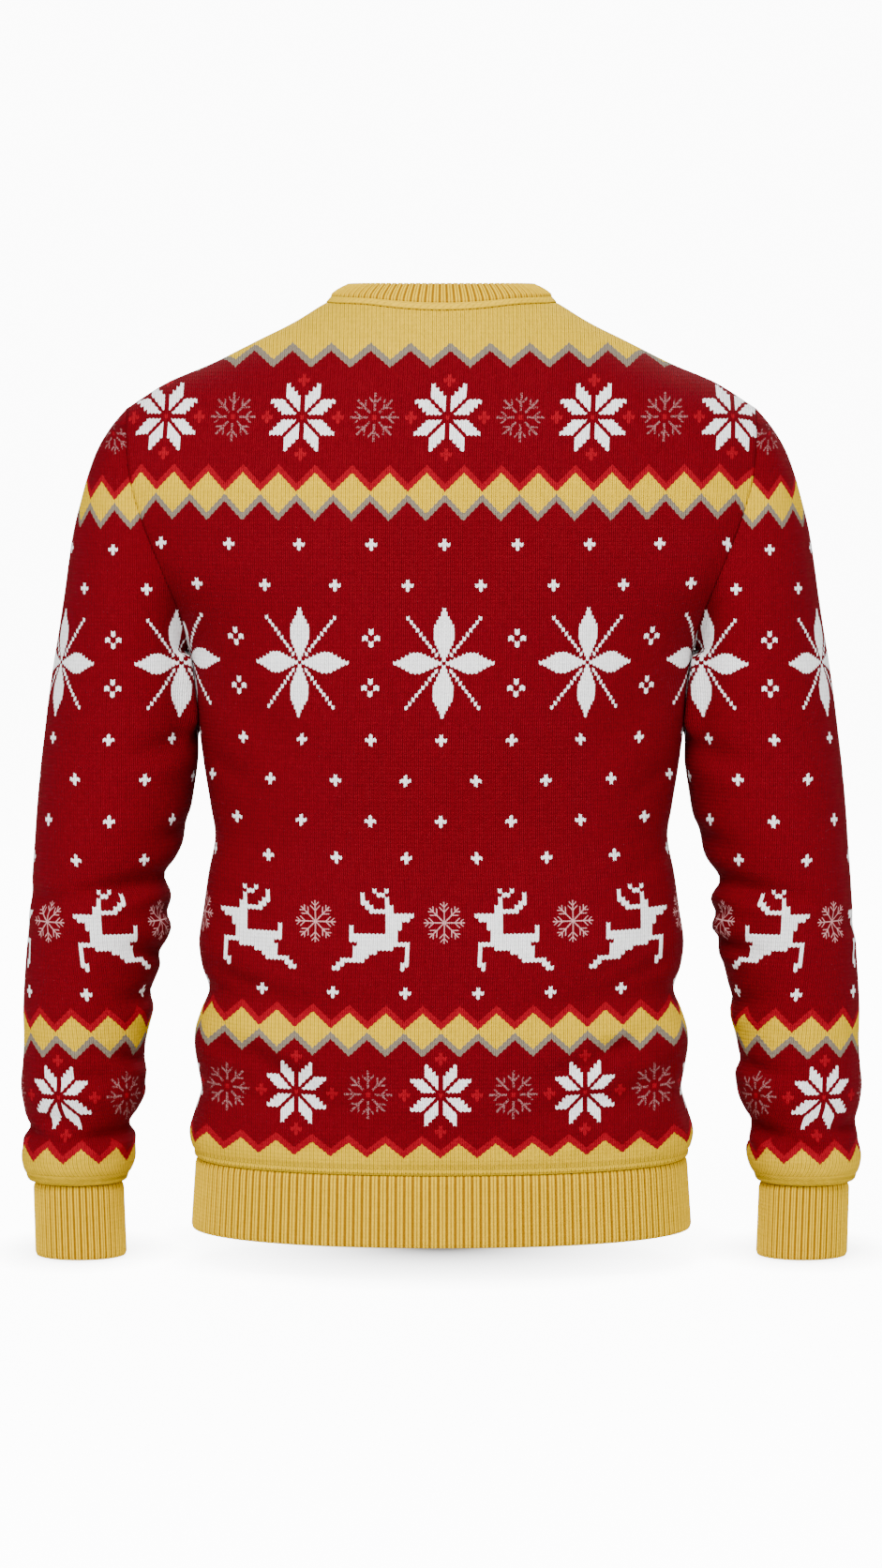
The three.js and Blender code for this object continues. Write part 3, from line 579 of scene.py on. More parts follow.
class Term:
    """A value inside a material, put together by ordinary arithmetic."""

    def __init__(self, tree, socket):
        self.tree = tree
        self.socket = socket

    def math(self, operation, *others):
        return combined(self.tree, operation, self, *others)

    __add__ = partialmethod(math, "ADD")
    __sub__ = partialmethod(math, "SUBTRACT")
    __mul__ = partialmethod(math, "MULTIPLY")
    __truediv__ = partialmethod(math, "DIVIDE")
    __abs__ = partialmethod(math, "ABSOLUTE")
    __lt__ = partialmethod(math, "LESS_THAN")
    __gt__ = partialmethod(math, "GREATER_THAN")
    min = partialmethod(math, "MINIMUM")
    max = partialmethod(math, "MAXIMUM")
    floor = partialmethod(math, "FLOOR")
    part = partialmethod(math, "FRACT")

    def nearest(self):
        return (self + 0.5).floor()

    def as_power_of_two(self):
        return combined(self.tree, "POWER", 2.0, self).nearest()

    def held(self):
        """The value, held between 0 and 1."""
        whole = self + 0.0
        whole.socket.node.use_clamp = True
        return whole


def new_material(name):
    material = bpy.data.materials.new(name)
    material.use_nodes = True
    tree = material.node_tree
    return material, tree, tree.nodes["Principled BSDF"]


def stitch_place(tree):
    """Wale and course numbers at a point, from the stitch map."""
    where = new_node(tree, "UVMap", {}, uv_map="Stitches")
    split = new_node(tree, "SeparateXYZ", {0: where.outputs["UV"]})
    return Term(tree, split.outputs[0]), Term(tree, split.outputs[1])


def mixed(tree, below, colour, share):
    node = new_node(tree, "Mix", {"Factor": share}, data_type="RGBA")
    for name, value in (("A", below), ("B", colour)):
        entry = next(s for s in node.inputs if s.name == name and s.type == "RGBA")
        joined(tree, entry, value if isinstance(value, bpy.types.NodeSocket) else (*value, 1.0))
    return next(s for s in node.outputs if s.type == "RGBA")


def noise(tree, scale, detail=2.0):
    """Even noise from 0 to 1 over the object's own space."""
    where = new_node(tree, "TexCoord", {}).outputs["Object"]
    node = new_node(tree, "TexNoise", {"Scale": scale, "Detail": detail, "Vector": where})
    return Term(tree, node.outputs[0])


def brightened(tree, colour, amount):
    return new_node(tree, "HueSaturation", {"Color": colour, "Value": amount}).outputs[0]


def uneven_tone(tree, patches, patch_share, grain_share):
    """Uneven dye in soft patches and a fine grain, round 0."""
    uneven = noise(tree, patches, 3.0)
    grain = noise(tree, 260.0, 1.0)
    return (uneven - 0.5) * patch_share + (grain - 0.5) * grain_share


def woollen(tree, shader, colour, tone, height, distance, strength):
    """Gives the shader its colour and tone, and stitches of a height with fuzz on them."""
    fuzzy = height + noise(tree, 1600.0) * 0.25
    bump = new_node(tree, "Bump", {"Distance": distance, "Strength": strength, "Height": fuzzy})
    joined(tree, shader.inputs["Normal"], bump.outputs[0])
    joined(tree, shader.inputs["Base Color"], brightened(tree, colour, tone))
    shader.inputs["Roughness"].default_value = 0.92
    shader.inputs["Specular IOR Level"].default_value = 0.03


def either(*shares):
    return reduce(Term.max, shares)


def from_centre(wale, period):
    """Distance in wales to the nearest motif of a row that repeats."""
    return abs(wale - (wale / period).nearest() * period)


def chart_bits(tree, wale, row, rows):
    """1 where a chart of runs has a stitch, at a wale counted from 0 and a row from the top."""
    ramp = tree.nodes.new("ShaderNodeValToRGB")
    ramp.color_ramp.interpolation = "CONSTANT"
    stops = ramp.color_ramp.elements
    top = 2 ** DEER_WALES
    for k, runs in enumerate(rows):
        bits = sum(2 ** i for first, last in runs for i in range(first, last + 1))
        stop = stops[k] if k < len(stops) and k < 2 else stops.new(k / len(rows))
        stop.position = k / len(rows)
        stop.color = (bits / top, 0, 0, 1)
    joined(tree, ramp.inputs[0], (row + 0.5) / len(rows))
    split = new_node(tree, "SeparateColor", {0: ramp.outputs[0]})
    value = Term(tree, split.outputs[0]) * top
    bit = (value / wale.as_power_of_two()).floor()
    inside = (wale > -0.5) * (wale < DEER_WALES - 0.5) * (row > -0.5) * (row < len(rows) - 0.5)
    return ((bit / 2).part() > 0.25) * inside


def spokes(across, up, start, reach, forks, thin):
    """A flake with eight spokes and a pair of branches at each fork."""
    long = abs(across).max(abs(up))
    short = abs(across).min(abs(up))
    out = long.max((long + short) * 0.7071)
    off = short.min((long - short) * 0.7071)
    flake = (off < thin) * (out > start) * (out < reach)
    for fork, length in forks:
        flake = flake.max((abs(out - off - fork) < thin * 1.15) * (off < length))
    return flake


def petal(long, short, reach):
    """A pointed petal that is widest halfway along."""
    half = (long * 0.45 - 0.05).min((long * -0.55 + reach * 0.55 + 0.3).min(2.55)).max(0.42)
    return (short < half) * (long > 0.6) * (long < reach + 0.7)


def patterned_knit(colours):
    """Stocking stitch with the colour bands charted stitch by stitch."""
    material, tree, shader = new_material("stranded_knit")
    u, v = stitch_place(tree)
    wale = u.nearest()
    leg = abs(u - wale) * 2
    slope = v - leg * 0.36 + 0.18
    course = slope.floor()
    climb = slope - course

    def zigzag(period, start):
        swing = abs(((u - start) / period).part() * 2 - 1)
        return swing * -1 + 1

    low = zigzag(ZIGZAG_REPEAT["low"], 0)
    top = zigzag(ZIGZAG_REPEAT["top"], 0)
    yoke = zigzag(ZIGZAG_REPEAT["yoke"], 4.92)
    # Zigzag lines: how far each swings, and the course of its lower or upper tips
    wave = low * 3.5 + 5.0
    low_up = low * 4.0 + 36.5
    low_down = low * -4.1 + 35.8
    top_up = top * 4.6 + 168.4
    top_down = top * -4.7 + 167.8
    rim = yoke * 4.1 + 200.6
    low_band = (slope < low_up) * (slope > low_down)
    top_band = (slope < top_up) * (slope > top_down)
    yellow = either(slope < wave, low_band, top_band, slope > rim)
    red = either(*[(slope < line + 2) * (slope > line) for line in (wave, low_up, top_up)])
    edges = ((low_down, 1.8), (top_down, 1.8), (rim, 2))
    grey = either(*[(slope > line - deep) * (slope < line) for line, deep in edges])

    # Small crosses in rows
    def crosses(period, start, rows):
        off = from_centre(u - start, period)
        ups = [abs(slope - row - 0.5) for row in rows]
        return either(*[(off.max(up) < 1.4) * (off.min(up) < 0.42) for up in ups])

    white = either(
        crosses(18, 9, (45, 145)), crosses(18, 0, (155,)),
        crosses(17.4, 8.7, (78, 97)), crosses(17.4, 0, (87, 107)),
    )

    # Eight-pointed stars with small diamonds round them
    low_star, top_star = STAR_COURSES
    star_x = from_centre(wale, STAR_REPEAT)
    exact_x = from_centre(u, STAR_REPEAT)
    star_y = abs(course - low_star).min(abs(course - top_star))
    exact_y = abs(slope - (low_star + 0.5)).min(abs(slope - (top_star + 0.5)))
    far = star_x.max(star_y)
    stretch = (v < 100) * 0.09 + 1.04
    across = (exact_x * stretch).nearest()
    up = (exact_y * stretch).nearest()
    short = across.min(up)
    long = across.max(up)
    star = (short > 0.5) * (short < long - 0.5) * (short > long - 4.5) * (short < 4.5)
    star = star * (exact_x > 0.66) * (exact_y > 0.66) * (abs(exact_x - exact_y) > 0.62)
    diamond = ((abs(star_x - 9) + star_y) < 1.5).max((star_x + abs(star_y - 9)) < 1.5)
    dot = far < 0.5

    # Large four-petalled stars with dotted diagonals and four-dot flowers between them
    petal_y = abs(course - LARGE_STAR_COURSE)
    exact_up = abs(slope - (LARGE_STAR_COURSE + 0.5))
    petals = petal(petal_y, exact_x, 12.8).max(petal(star_x, exact_up, 11.9))
    dots = (climb > 0.1) * (petal_y > 1.5) * (petal_y < 11.5)
    diagonal = (abs(exact_x - (petal_y + 0.3) / 1.27) < 0.38) * dots
    flower_x = abs(exact_x - STAR_REPEAT / 2)
    flower_y = abs(exact_up - 6.1)
    flower = (abs(flower_x.max(flower_y) - 1.5) < 0.68) * (flower_x.min(flower_y) < 0.6)
    white = either(white, star, petals, diagonal, flower)

    # Deer that face each other across thin flakes
    fold = from_centre(wale, DEER_REPEAT)
    deer = chart_bits(tree, fold - NOSE_FROM_FOLD, course * -1 + DEER_TOP_COURSE, DEER)
    flake_x = from_centre(u, DEER_REPEAT / 2)
    thin_flake = spokes(flake_x, v - THIN_FLAKE_COURSE, -1, 5.1, ((2.6, 1.2), (3.8, 0.9)), 0.15)
    white = white.max(deer)

    # Pale flakes halfway between the stars
    pale_x = from_centre(u - STAR_REPEAT / 2, STAR_REPEAT)
    pale_y = abs(v - (low_star + 0.5)).min(abs(v - (top_star + 0.5)))
    speckle = noise(tree, 900.0) > 0.47
    pale = spokes(pale_x, pale_y, 1.6, 6.0, ((3.3, 1.4),), 0.27) * speckle
    pale_dot = pale_x.max(pale_y) < 0.6

    # Painted shade: the yellow yarn is mixed towards the rib shade colour in the sunk lines between the legs
    # of the stitches
    between = ((leg - 0.72) * 3.6).held()
    colour = mixed(tree, colours.dark_red, colours.grey, grey)
    for yarn, share in (
        (colours.bright_red, either(red, diamond, dot, pale_dot)),
        (colours.yellow, yellow),
        (colours.rib_painted_shade, yellow * between * 0.5),
        (colours.white, white),
        (colours.thin_white, thin_flake),
        (colours.pale, pale * 0.85),
    ):
        colour = mixed(tree, colour, yarn, share)

    across = abs(leg - 0.5) * 2
    round_leg = across * across * -1 + 1
    round_course = abs(climb - 0.5) * 2
    height = round_leg * (round_course * round_course * -0.55 + 1)
    # Painted shade in the grooves: a line over the linking row, the gaps between its loops, and its foot
    # against the hem band
    link = (v < 2.3) * (v > 0.4)
    gap = either((abs(v - 2.6) < 0.3) * 0.10, link * (climb < 0.3) * 0.22, (v < 0.6) * 0.35)
    # Painted light and shade: each leg is lighter on its crown and darker between the legs and in the
    # grooves; the uneven tone is dye
    tone = height * 0.30 + 0.82 - between * 0.24 - gap + uneven_tone(tree, 9.0, 0.14, 0.30)
    woollen(tree, shader, colour, tone, height, distance=0.0010, strength=0.8)
    return material


def yellow_rib(colours):
    """Ribbed knitting: raised ribs of two wales with a sunk wale between them."""
    material, tree, shader = new_material("ribbed_knit")
    u, v = stitch_place(tree)
    part = abs(u - u.nearest()) * 2
    leg = abs((u * 2).part() - 0.5) * 2
    slope = v + leg * 0.5
    climb = abs(slope.part() - 0.5) * 2
    roll = (v > 0) * (v < 2.3)
    chain = abs((u + v * 0.8).part() - 0.5) * 2
    # Painted shade: the sunk wale and the line between the two legs of each rib are darkened towards the rib
    # shade colour
    painted_valley_shade = ((part - 0.56) * 4.5).held().max(((part * -1 + 0.28) * 4).held() * 0.85)
    painted_valley_shade = painted_valley_shade * (roll * -1 + 1) * 0.95
    height = (climb * climb * -0.35 + 1) * (leg * -0.25 + 1)
    colour = mixed(tree, colours.yellow, colours.rib_painted_shade, painted_valley_shade)
    # Painted shade in the groove over the linking row, at its foot and between its loops; the crowns of the
    # ribs are painted lighter
    seams = either((abs(v - 2.45) < 0.2) * 0.22, (abs(v - 0.12) < 0.14) * 0.35, roll * (chain < 0.35) * 0.16)
    tone = height * 0.18 + 0.87 - seams + uneven_tone(tree, 14.0, 0.12, 0.24)
    woollen(tree, shader, colour, tone, height, distance=0.0008, strength=0.7)
    return material


def plain_material(name, colour, roughness):
    material, tree, shader = new_material(name)
    tone = noise(tree, 2.0) * 0.01 + 0.995
    joined(tree, shader.inputs["Base Color"], brightened(tree, (*colour, 1.0), tone))
    shader.inputs["Roughness"].default_value = roughness
    return material


def slot_material(slot):
    """The material that dresses a slot, made on first use."""
    maker, name = {"patterned_knit": (patterned_knit, "stranded_knit"),
                   "yellow_rib": (yellow_rib, "ribbed_knit")}[slot]
    known = bpy.data.materials.get(name)
    return known or maker(bpy.context.scene.pullover_colours)


# Settings

def colour_property(name, value, description):
    return FloatVectorProperty(
        name=name, description=description, default=value, subtype="COLOR", size=3, min=0, max=1)


def length_property(name, value, description):
    return FloatProperty(name=name, description=description, default=value, unit="LENGTH")


class PulloverSizes(bpy.types.PropertyGroup):
    wale: length_property("Wale", 0.003044, "Width of a stitch on the body")
    sleeve_wale: length_property("Sleeve wale", 0.0031, "Width of a stitch on the sleeves")
    course: length_property("Course", 0.003061, "Height of a stitch")
    neck_course: FloatProperty(
        name="Neck course", description="Chart course at the height of the back neck", default=213.0)
    rib_rise: length_property("Rib rise", 0.0014, "How far a rib stands out")
    hem_ribs: IntProperty(name="Hem ribs", description="Ribs round the hem", default=158)
    cuff_ribs: IntProperty(name="Cuff ribs", description="Ribs round a cuff", default=44)
    neck_ribs: IntProperty(name="Neck ribs", description="Ribs round the neck", default=100)


class PulloverColours(bpy.types.PropertyGroup):
    dark_red: colour_property("Dark red", (0.125, 0.0015, 0.0052), "Main yarn")
    bright_red: colour_property("Bright red", (0.25, 0.002, 0.009), "Zigzag lines and diamonds")
    yellow: colour_property("Yellow", (0.66, 0.415, 0.0015), "Yoke, bands, hem and ribs")
    # Painted shade: a darker yellow for the sunk wales of the ribs and the sunk lines between stitch legs
    rib_painted_shade: colour_property("Rib shade", (0.23, 0.10, 0.0005), "Yellow in the sunk wales")
    grey: colour_property("Grey", (0.185, 0.15, 0.11), "Line under the bands")
    white: colour_property("White", (0.94, 0.94, 0.94), "Stars, deer and crosses")
    thin_white: colour_property("Thin white", (0.52, 0.25, 0.25), "Flakes by the deer")
    pale: colour_property("Pale", (0.28, 0.13, 0.13), "Flakes by the stars")


class PulloverStage(bpy.types.PropertyGroup):
    floor_drop: length_property("Floor drop", -0.7325, "Height of the floor under the neck")
    camera_distance: length_property("Camera distance", 4.85, "From the middle of the pullover")
    view_height: length_property("View height", 1.204, "Height of the picture at the pullover")
    view_centre: length_property("View centre", -0.364, "Height of the picture's middle")
    key_power: FloatProperty(
        name="Key light", description="Power of the large light by the camera", default=255.0, unit="POWER")
    backdrop_glow: FloatProperty(
        name="Backdrop glow", description="Strength of the light from the white backdrop", default=11.0)
    world_light: FloatProperty(
        name="World light", description="Strength of the light all round", default=0.5)


# Pieces

def linking(above):
    """The raised row that joins stocking stitch to ribbing, with a groove over it."""
    return 1.2 * np.exp(-((above - 2.4) / 1.7) ** 2) - 0.5 * np.exp(-((above - 6.4) / 1.4) ** 2)


def made_panel(panel, node):
    outer, normals, columns = panel_grid(panel)
    wales = panel_wales(outer)
    courses = panel_courses(outer)
    bead = linking(outer[..., 2] - HEM_Z)
    inner = outer - normals * CLOTH
    outer = outer + normals * bead[..., None]
    inner[-1, np.abs(columns) > NECK_COLUMNS, 1] -= SEAM_SLANT
    below = np.flatnonzero(outer[:, 0, 2] < ARMPIT_Z)
    inner[np.ix_(below, [0, len(columns) - 1], [1])] -= SEAM_SLANT
    made = wall_mesh(node + "_knit", outer, inner, wales, courses, False)
    seat(made, node, "patterned_knit")


def made_sleeve(side, node):
    outer, normals = sleeve_rings(side)
    wales, courses = sleeve_chart(outer)
    inner = outer - normals * CLOTH
    outer = outer + normals * linking(outer[..., 2:] - CUFF_Z) * smooth(*CUFF_BEAD, outer[..., 2:])
    mirror = (side, 1, 1)
    made = wall_mesh(node + "_knit", outer * mirror, inner * mirror, wales, courses, True)
    seat(made, node, "patterned_knit")


def even_stations(loop, count):
    """Even places along a closed run of points, with every array of the run blended there."""
    points = loop["point"]
    lengths = np.linalg.norm(np.roll(points, -1, 0) - points, axis=1)
    passed = np.concatenate([[0], np.cumsum(lengths)])
    want = np.arange(count) / count * passed[-1]
    edge = np.clip(np.searchsorted(passed, want, "right") - 1, 0, len(points) - 1)
    t = ((want - passed[edge]) / np.maximum(lengths[edge], 1e-9))[:, None]
    after = (edge + 1) % len(points)
    return {key: a[edge] * (1 - t) + a[after] * t for key, a in loop.items()}


RIB_STEPS = 8
RIB_COURSE = 2.9


def rib_height(count):
    """Height of ribbing from 0 to 1 round a band: two rounded legs, then a sunk wale."""
    part = np.abs(((np.arange(count * RIB_STEPS) / RIB_STEPS + 0.5) % 1) - 0.5) * 2
    crown = 1 - smooth(0.45, 0.9, part)
    return (crown - 0.55 * np.exp(-(part / 0.18) ** 2))[:, None]


def rib_wales(count):
    return np.arange(count * RIB_STEPS + 1) / RIB_STEPS


def hanging_band(name, loop, seam_z, ribs, grow, shift, drops):
    """A ribbed band hung from a level seam, plain inside, with a rounded lower edge."""
    stations = even_stations(loop, ribs * RIB_STEPS)
    rise = piece_sizes().rib_rise * 1000
    height = rib_height(ribs)
    end = drops[-1]
    outer = []
    inner = []
    for drop in drops:
        share = (drop - drops[0]) / (end - drops[0])
        spread = grow[0] + (grow[1] - grow[0]) * share
        ease = smooth(0, 5, drop) * (1 - 0.35 * smooth(end - 3, end, drop))
        tuck = 0.5 * smooth(end - 2.5, end, drop)
        for rows, offset in ((outer, spread + rise * height * ease - tuck), (inner, spread - CLOTH + tuck)):
            point = stations["point"] + stations["face"] * offset
            point[:, 0] += np.sign(stations["point"][:, 0]) * (shift * share)
            point[:, 2] = seam_z - drop
            rows.append(point)
    wales = np.broadcast_to(rib_wales(ribs), (len(drops), ribs * RIB_STEPS + 1))
    courses = np.broadcast_to(-np.array(drops)[:, None] / RIB_COURSE, wales.shape)
    return wall_mesh(name, np.array(outer), np.array(inner), wales, courses, True)


def level_face(normals):
    return unit(normals * (1, 1, 0))


def body_loop():
    back, back_normals, _ = panel_grid(BACK)
    front, front_normals, _ = panel_grid(FRONT)
    return {
        "point": np.concatenate([back[0], front[0][::-1]]),
        "face": level_face(np.concatenate([back_normals[0], front_normals[0][::-1]])),
    }


def neck_top(panel, angle):
    level = np.maximum(np.cos(angle), 0)
    forward = -panel["sign"] * level
    drop = (forward + np.hypot(forward, NECK_TOP["bend"])) / 2
    if panel is BACK:
        y = NECK_TOP["back_y"] * level
    else:
        y = -NECK_TOP["front_y"] * level ** NECK_TOP["front_power"]
    z = NECK_TOP["back_z"] + (NECK_TOP["front_z"] - NECK_TOP["back_z"]) * drop
    return np.stack([NECK_TOP["half"] * np.sin(angle), y, z], -1)


def neck_loop():
    parts = []
    for panel, order in ((BACK, 1), (FRONT, -1)):
        points, normals, columns = panel_grid(panel)
        mine = np.abs(columns) <= NECK_COLUMNS
        top = neck_top(panel, columns[mine] / NECK_COLUMNS * np.pi / 2)
        parts.append([a[::order] for a in (points[-1][mine], normals[-1][mine], top)])
    point, face, top = (np.concatenate(pair) for pair in zip(*parts))
    run = unit(np.roll(point, -1, 0) - np.roll(point, 1, 0))
    return {"point": point, "face": face, "top": top, "run": run}


def made_neck_band():
    """The folded neck band, with a raised linking row at its foot and a rounded top."""
    sizes = piece_sizes()
    ribs = sizes.neck_ribs
    rise = sizes.rib_rise * 1000
    stations = even_stations(neck_loop(), ribs * RIB_STEPS)
    point, face, top, run = (stations[k] for k in ("point", "face", "top", "run"))
    into = unit(np.cross(face, run))
    into = np.where(into[:, 2:] < 0, -into, into)
    foot = point + into * SEAM_GAP
    across = unit(np.cross(top - foot, run))
    across = np.where((across * face).sum(1, keepdims=True) < 0, -across, across)
    up = unit(top - foot)
    height = rib_height(ribs)
    inward = 1 - smooth(0.7, 0.98, np.abs(top[:, :1]) / NECK_TOP["half"])
    outer = []
    inner = []
    for t in NECK_ROWS:
        lean = unit(face * (1 - smooth(0, 0.5, t)) + across * smooth(0, 0.5, t))
        crown = NECK_CROWN * 4 * t * (1 - t)
        bead = 1.5 * np.exp(-((t - 0.12) / 0.07) ** 2) - 0.7 * np.exp(-((t - 0.26) / 0.04) ** 2)
        ease = smooth(0.25, 0.36, t)
        base = foot + (top - foot) * t
        outer.append(base + lean * (0.5 + 0.3 * inward + crown + bead * inward + rise * height * ease))
        inner.append(base + lean * (-2.8 + crown))
    for angle in np.radians(NECK_ROUNDING):
        lift = up * (NECK_CROWN * np.sin(angle))
        reach = 1.8 * np.cos(angle)
        outer.append(top + lift + across * (-1.0 + reach + rise * height * (np.cos(angle) * 0.9 + 0.1)))
        inner.append(top + lift + across * (-1.0 - reach - 0.05))
    rows = len(outer)
    wales = np.broadcast_to(rib_wales(ribs), (rows, ribs * RIB_STEPS + 1))
    level = np.concatenate([NECK_ROWS * 9, 9 + np.arange(1, rows - len(NECK_ROWS) + 1) * 0.5])
    courses = np.broadcast_to(level[:, None], wales.shape)
    made = wall_mesh("neck_band", np.array(outer), np.array(inner), wales, courses, True)
    seat(made, "neck_rib", "yellow_rib")


# Rows of a hanging band, in millimetres under its seam
UPPER_ROWS = [0.4, 1.5, 3, 5, 9, 16, 24, 32, 40]
HEM_ROUNDING = [46, 50, 52, 53.5, 54.5]
CUFF_ROUNDING = [48, 53, 55, 56.5, 57.5]


def made_hem():
    made = hanging_band("hem_band", body_loop(), HEM_Z, piece_sizes().hem_ribs, (0, 3.6), 0,
                        UPPER_ROWS + HEM_ROUNDING)
    seat(made, "hem_rib", "yellow_rib")


def made_cuff(side, node):
    points, normals = sleeve_rings(side)
    loop = {"point": points[-1] * (side, 1, 1), "face": level_face(normals[-1]) * (side, 1, 1)}
    made = hanging_band(node + "_knit", loop, CUFF_Z, piece_sizes().cuff_ribs, (-1.2, -0.9), -1.8,
                        UPPER_ROWS + CUFF_ROUNDING)
    seat(made, node, "yellow_rib")


class Knitting:
    """Makes the pieces of an operator one after another."""

    def execute(self, context):
        for make, *values in self.pieces:
            make(*values)
        return {"FINISHED"}


class PULLOVER_OT_panels(Knitting, bpy.types.Operator):
    """Knit the back and the front"""
    bl_idname = "pullover.panels"
    bl_label = "Back and front"
    pieces = ((made_panel, BACK, "back"), (made_panel, FRONT, "front"))


class PULLOVER_OT_sleeves(Knitting, bpy.types.Operator):
    """Knit the two sleeves"""
    bl_idname = "pullover.sleeves"
    bl_label = "Sleeves"
    pieces = ((made_sleeve, 1, "left_sleeve"), (made_sleeve, -1, "right_sleeve"))


class PULLOVER_OT_neck_band(Knitting, bpy.types.Operator):
    """Knit the ribbed neck band"""
    bl_idname = "pullover.neck_band"
    bl_label = "Neck band"
    pieces = ((made_neck_band,),)


class PULLOVER_OT_bands(Knitting, bpy.types.Operator):
    """Knit the ribbed hem and cuffs"""
    bl_idname = "pullover.bands"
    bl_label = "Hem and cuffs"
    pieces = ((made_hem,), (made_cuff, 1, "left_cuff"), (made_cuff, -1, "right_cuff"))


# Stage

# Soft lights: name, place, size, share of the key light's power
LIGHTS = (
    ("key", (0.5, 2.6, 2.5), 1.7, 1.0),
    ("front", (-0.6, -2.7, 2.2), 1.8, 0.7),
    ("fill_left", (-2.3, 2.6, 0.2), 2.0, 0.22),
    ("fill_right", (2.3, 2.6, 0.2), 2.0, 0.2),
)
LIGHTS_AIM = (0, 0, -0.35)
# The round floor: radius, radius of the curve up, height of the wall, steps of the curve and sides
FLOOR = dict(radius=9.5, curve=1.5, wall=6.0, steps=14, sides=72)
# The camera stands this far off the middle, as in the photo
CAMERA_X = 0.0003


class PULLOVER_OT_stage(bpy.types.Operator):
    """Set out the floor, the lights and the camera"""
    bl_idname = "pullover.stage"
    bl_label = "Stage"

    def execute(self, context):
        stage = context.scene.pullover_stage
        sweep = sweep_floor(stage.floor_drop)
        backdrop = plain_material("studio_white", (0.8, 0.8, 0.8), 0.9)
        glow_with_painted_shadow(backdrop, stage.backdrop_glow)
        sweep.data.materials.append(backdrop)
        world = bpy.data.worlds.new("studio")
        world.use_nodes = True
        world.node_tree.nodes["Background"].inputs[0].default_value = (1, 1, 1, 1)
        world.node_tree.nodes["Background"].inputs[1].default_value = stage.world_light
        context.scene.world = world
        for name, place, size, share in LIGHTS:
            soft_light(name, place, size, stage.key_power * share)
        camera = bpy.data.cameras.new("camera")
        away = np.hypot(stage.camera_distance, stage.view_centre)
        camera.lens = 36 * away / stage.view_height
        camera.sensor_width = 36
        camera.clip_end = 50
        holder = placed("camera", camera)
        holder.location = (CAMERA_X, stage.camera_distance, 0)
        tilt = np.arctan2(stage.view_centre, stage.camera_distance)
        holder.rotation_euler = (np.pi / 2 + tilt, 0, np.pi)
        context.scene.camera = holder
        shown = bpy.data.collections.new("lit_by_backdrop")
        shown.objects.link(holder)
        sweep.light_linking.receiver_collection = shown
        return {"FINISHED"}


def sweep_floor(level):
    """A pale round floor that curves up into a wall on every side."""
    radius, curve, wall, steps, sides = FLOOR.values()
    bends = np.linspace(0, np.pi / 2, steps)
    run = [(radius + curve * np.sin(a), curve - curve * np.cos(a)) for a in bends]
    run += [(radius + curve, wall)]
    turns = np.linspace(0, 2 * np.pi, sides + 1)[:-1]
    points = [(r * np.cos(a), r * np.sin(a), level + z) for r, z in run for a in turns]
    faces = [tuple(range(sides))]
    for k in range(len(run) - 1):
        for i in range(sides):
            low, high = sides * k, sides * (k + 1)
            j = (i + 1) % sides
            faces.append((low + i, high + i, high + j, low + j))
    mesh = bpy.data.meshes.new("floor")
    mesh.from_pydata(points, [], faces)
    mesh.polygons.foreach_set("use_smooth", [True] * len(faces))
    return placed("floor", mesh)


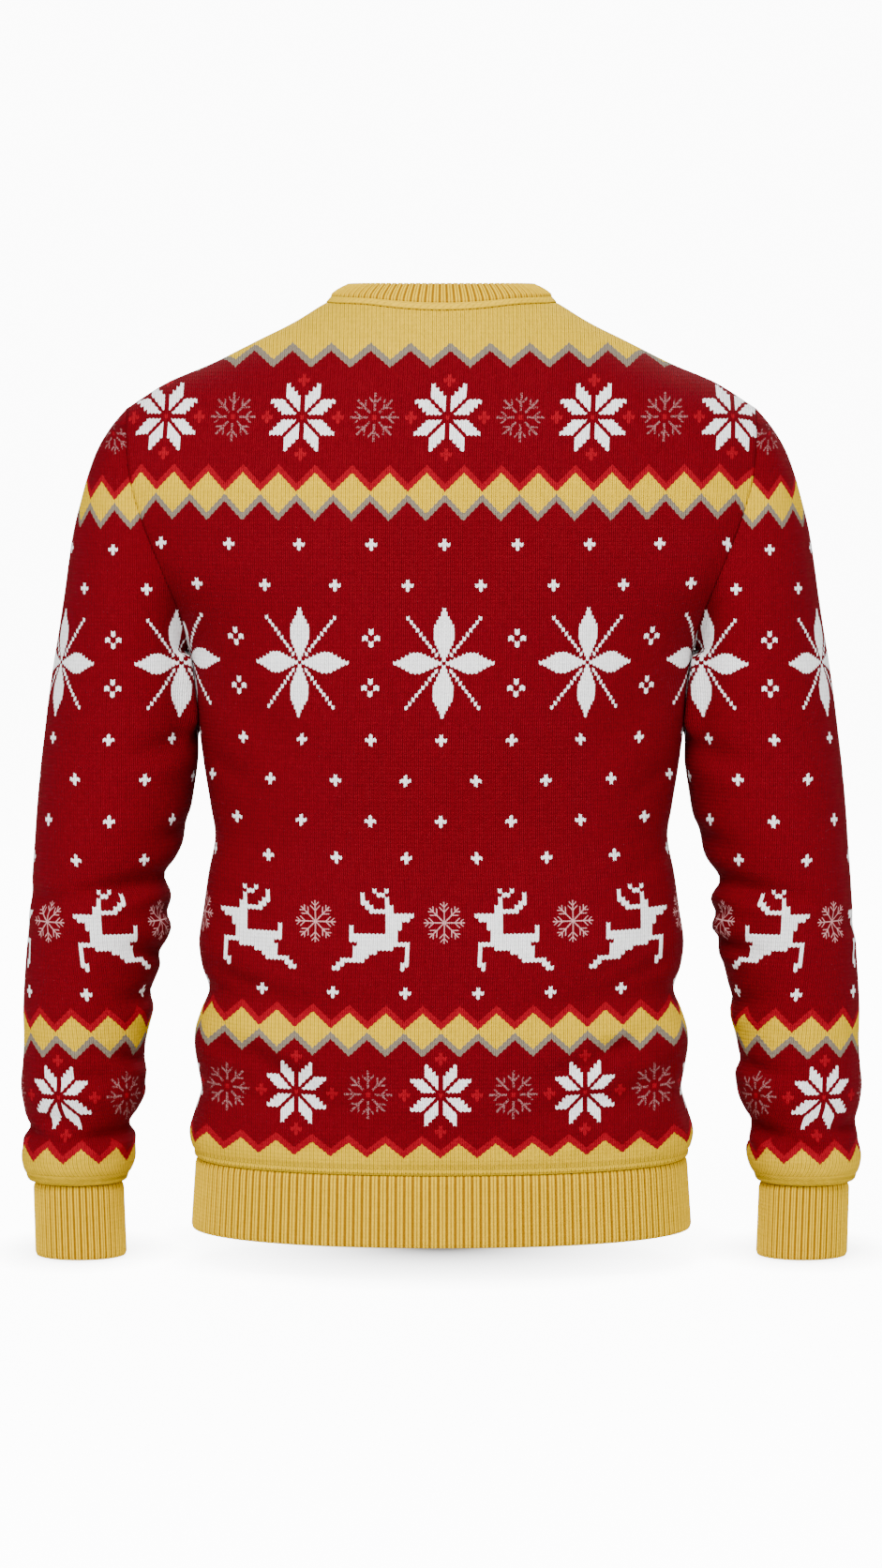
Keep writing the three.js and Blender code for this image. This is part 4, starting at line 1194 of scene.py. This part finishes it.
def glow_with_painted_shadow(material, strength):
    """Light from the backdrop itself, with painted shadows: the glow is dimmed on the floor under the hem
    and the cuffs.
    """
    tree = material.node_tree
    shader = tree.nodes["Principled BSDF"]
    where = new_node(tree, "TexCoord", {}).outputs["Object"]
    split = new_node(tree, "SeparateXYZ", {0: where})
    x, y, z = (Term(tree, socket) for socket in split.outputs)

    def shade(middle, across, behind, deep, start):
        side = abs(x) - middle
        back = y - behind
        far = ((side / across) * (side / across) + (back / deep) * (back / deep)).math("SQRT")
        return ((far - start) / (1.1 - start)).held()

    # Painted shadows: soft dim ovals in the backdrop's glow under the hem and under each cuff
    hem = shade(middle=0.0, across=0.22, behind=-0.08, deep=0.22, start=0.12)
    cuff = shade(middle=0.283, across=0.075, behind=-0.05, deep=0.11, start=0.1)
    light = (hem * 0.97 + 0.03) * (cuff * 0.8 + 0.2)
    light = light.max((z > -0.6) * 1.0)
    joined(tree, shader.inputs["Emission Strength"], light * strength)
    shader.inputs["Emission Color"].default_value = (1, 1, 1, 1)


def soft_light(name, place, size, power):
    light = bpy.data.lights.new(name, "AREA")
    light.shape = "SQUARE"
    light.size = size
    light.energy = power
    made = placed(name, light)
    made.location = place
    away = np.array(place) - np.array(LIGHTS_AIM)
    flat = np.hypot(away[0], away[1])
    made.rotation_euler = (np.arctan2(flat, away[2]), 0, np.arctan2(away[0], -away[1]))


class PULLOVER_PT_panel(bpy.types.Panel):
    """Pieces of the pullover"""
    bl_idname = "PULLOVER_PT_panel"
    bl_label = "Christmas pullover"
    bl_space_type = "VIEW_3D"
    bl_region_type = "UI"
    bl_category = "Pullover"

    def draw(self, context):
        for made in OPERATORS:
            self.layout.operator(made.bl_idname)
        for group in ("pullover_sizes", "pullover_colours", "pullover_stage"):
            settings = getattr(context.scene, group)
            box = self.layout.box()
            for name in settings.__annotations__:
                box.prop(settings, name)


OPERATORS = (
    PULLOVER_OT_panels, PULLOVER_OT_sleeves, PULLOVER_OT_neck_band, PULLOVER_OT_bands, PULLOVER_OT_stage)
GROUPS = (PulloverSizes, PulloverColours, PulloverStage)


def register():
    for made in (*GROUPS, *OPERATORS, PULLOVER_PT_panel):
        bpy.utils.register_class(made)
    bpy.types.Scene.pullover_sizes = PointerProperty(type=PulloverSizes)
    bpy.types.Scene.pullover_colours = PointerProperty(type=PulloverColours)
    bpy.types.Scene.pullover_stage = PointerProperty(type=PulloverStage)


def unregister():
    del bpy.types.Scene.pullover_stage
    del bpy.types.Scene.pullover_colours
    del bpy.types.Scene.pullover_sizes
    for made in reversed((*GROUPS, *OPERATORS, PULLOVER_PT_panel)):
        bpy.utils.unregister_class(made)


def main():
    """Builds every piece and the stage."""
    register()
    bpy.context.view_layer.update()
    bpy.ops.pullover.panels()
    bpy.ops.pullover.sleeves()
    bpy.ops.pullover.neck_band()
    bpy.ops.pullover.bands()
    bpy.ops.pullover.stage()


if __name__ == "__main__":
    main()
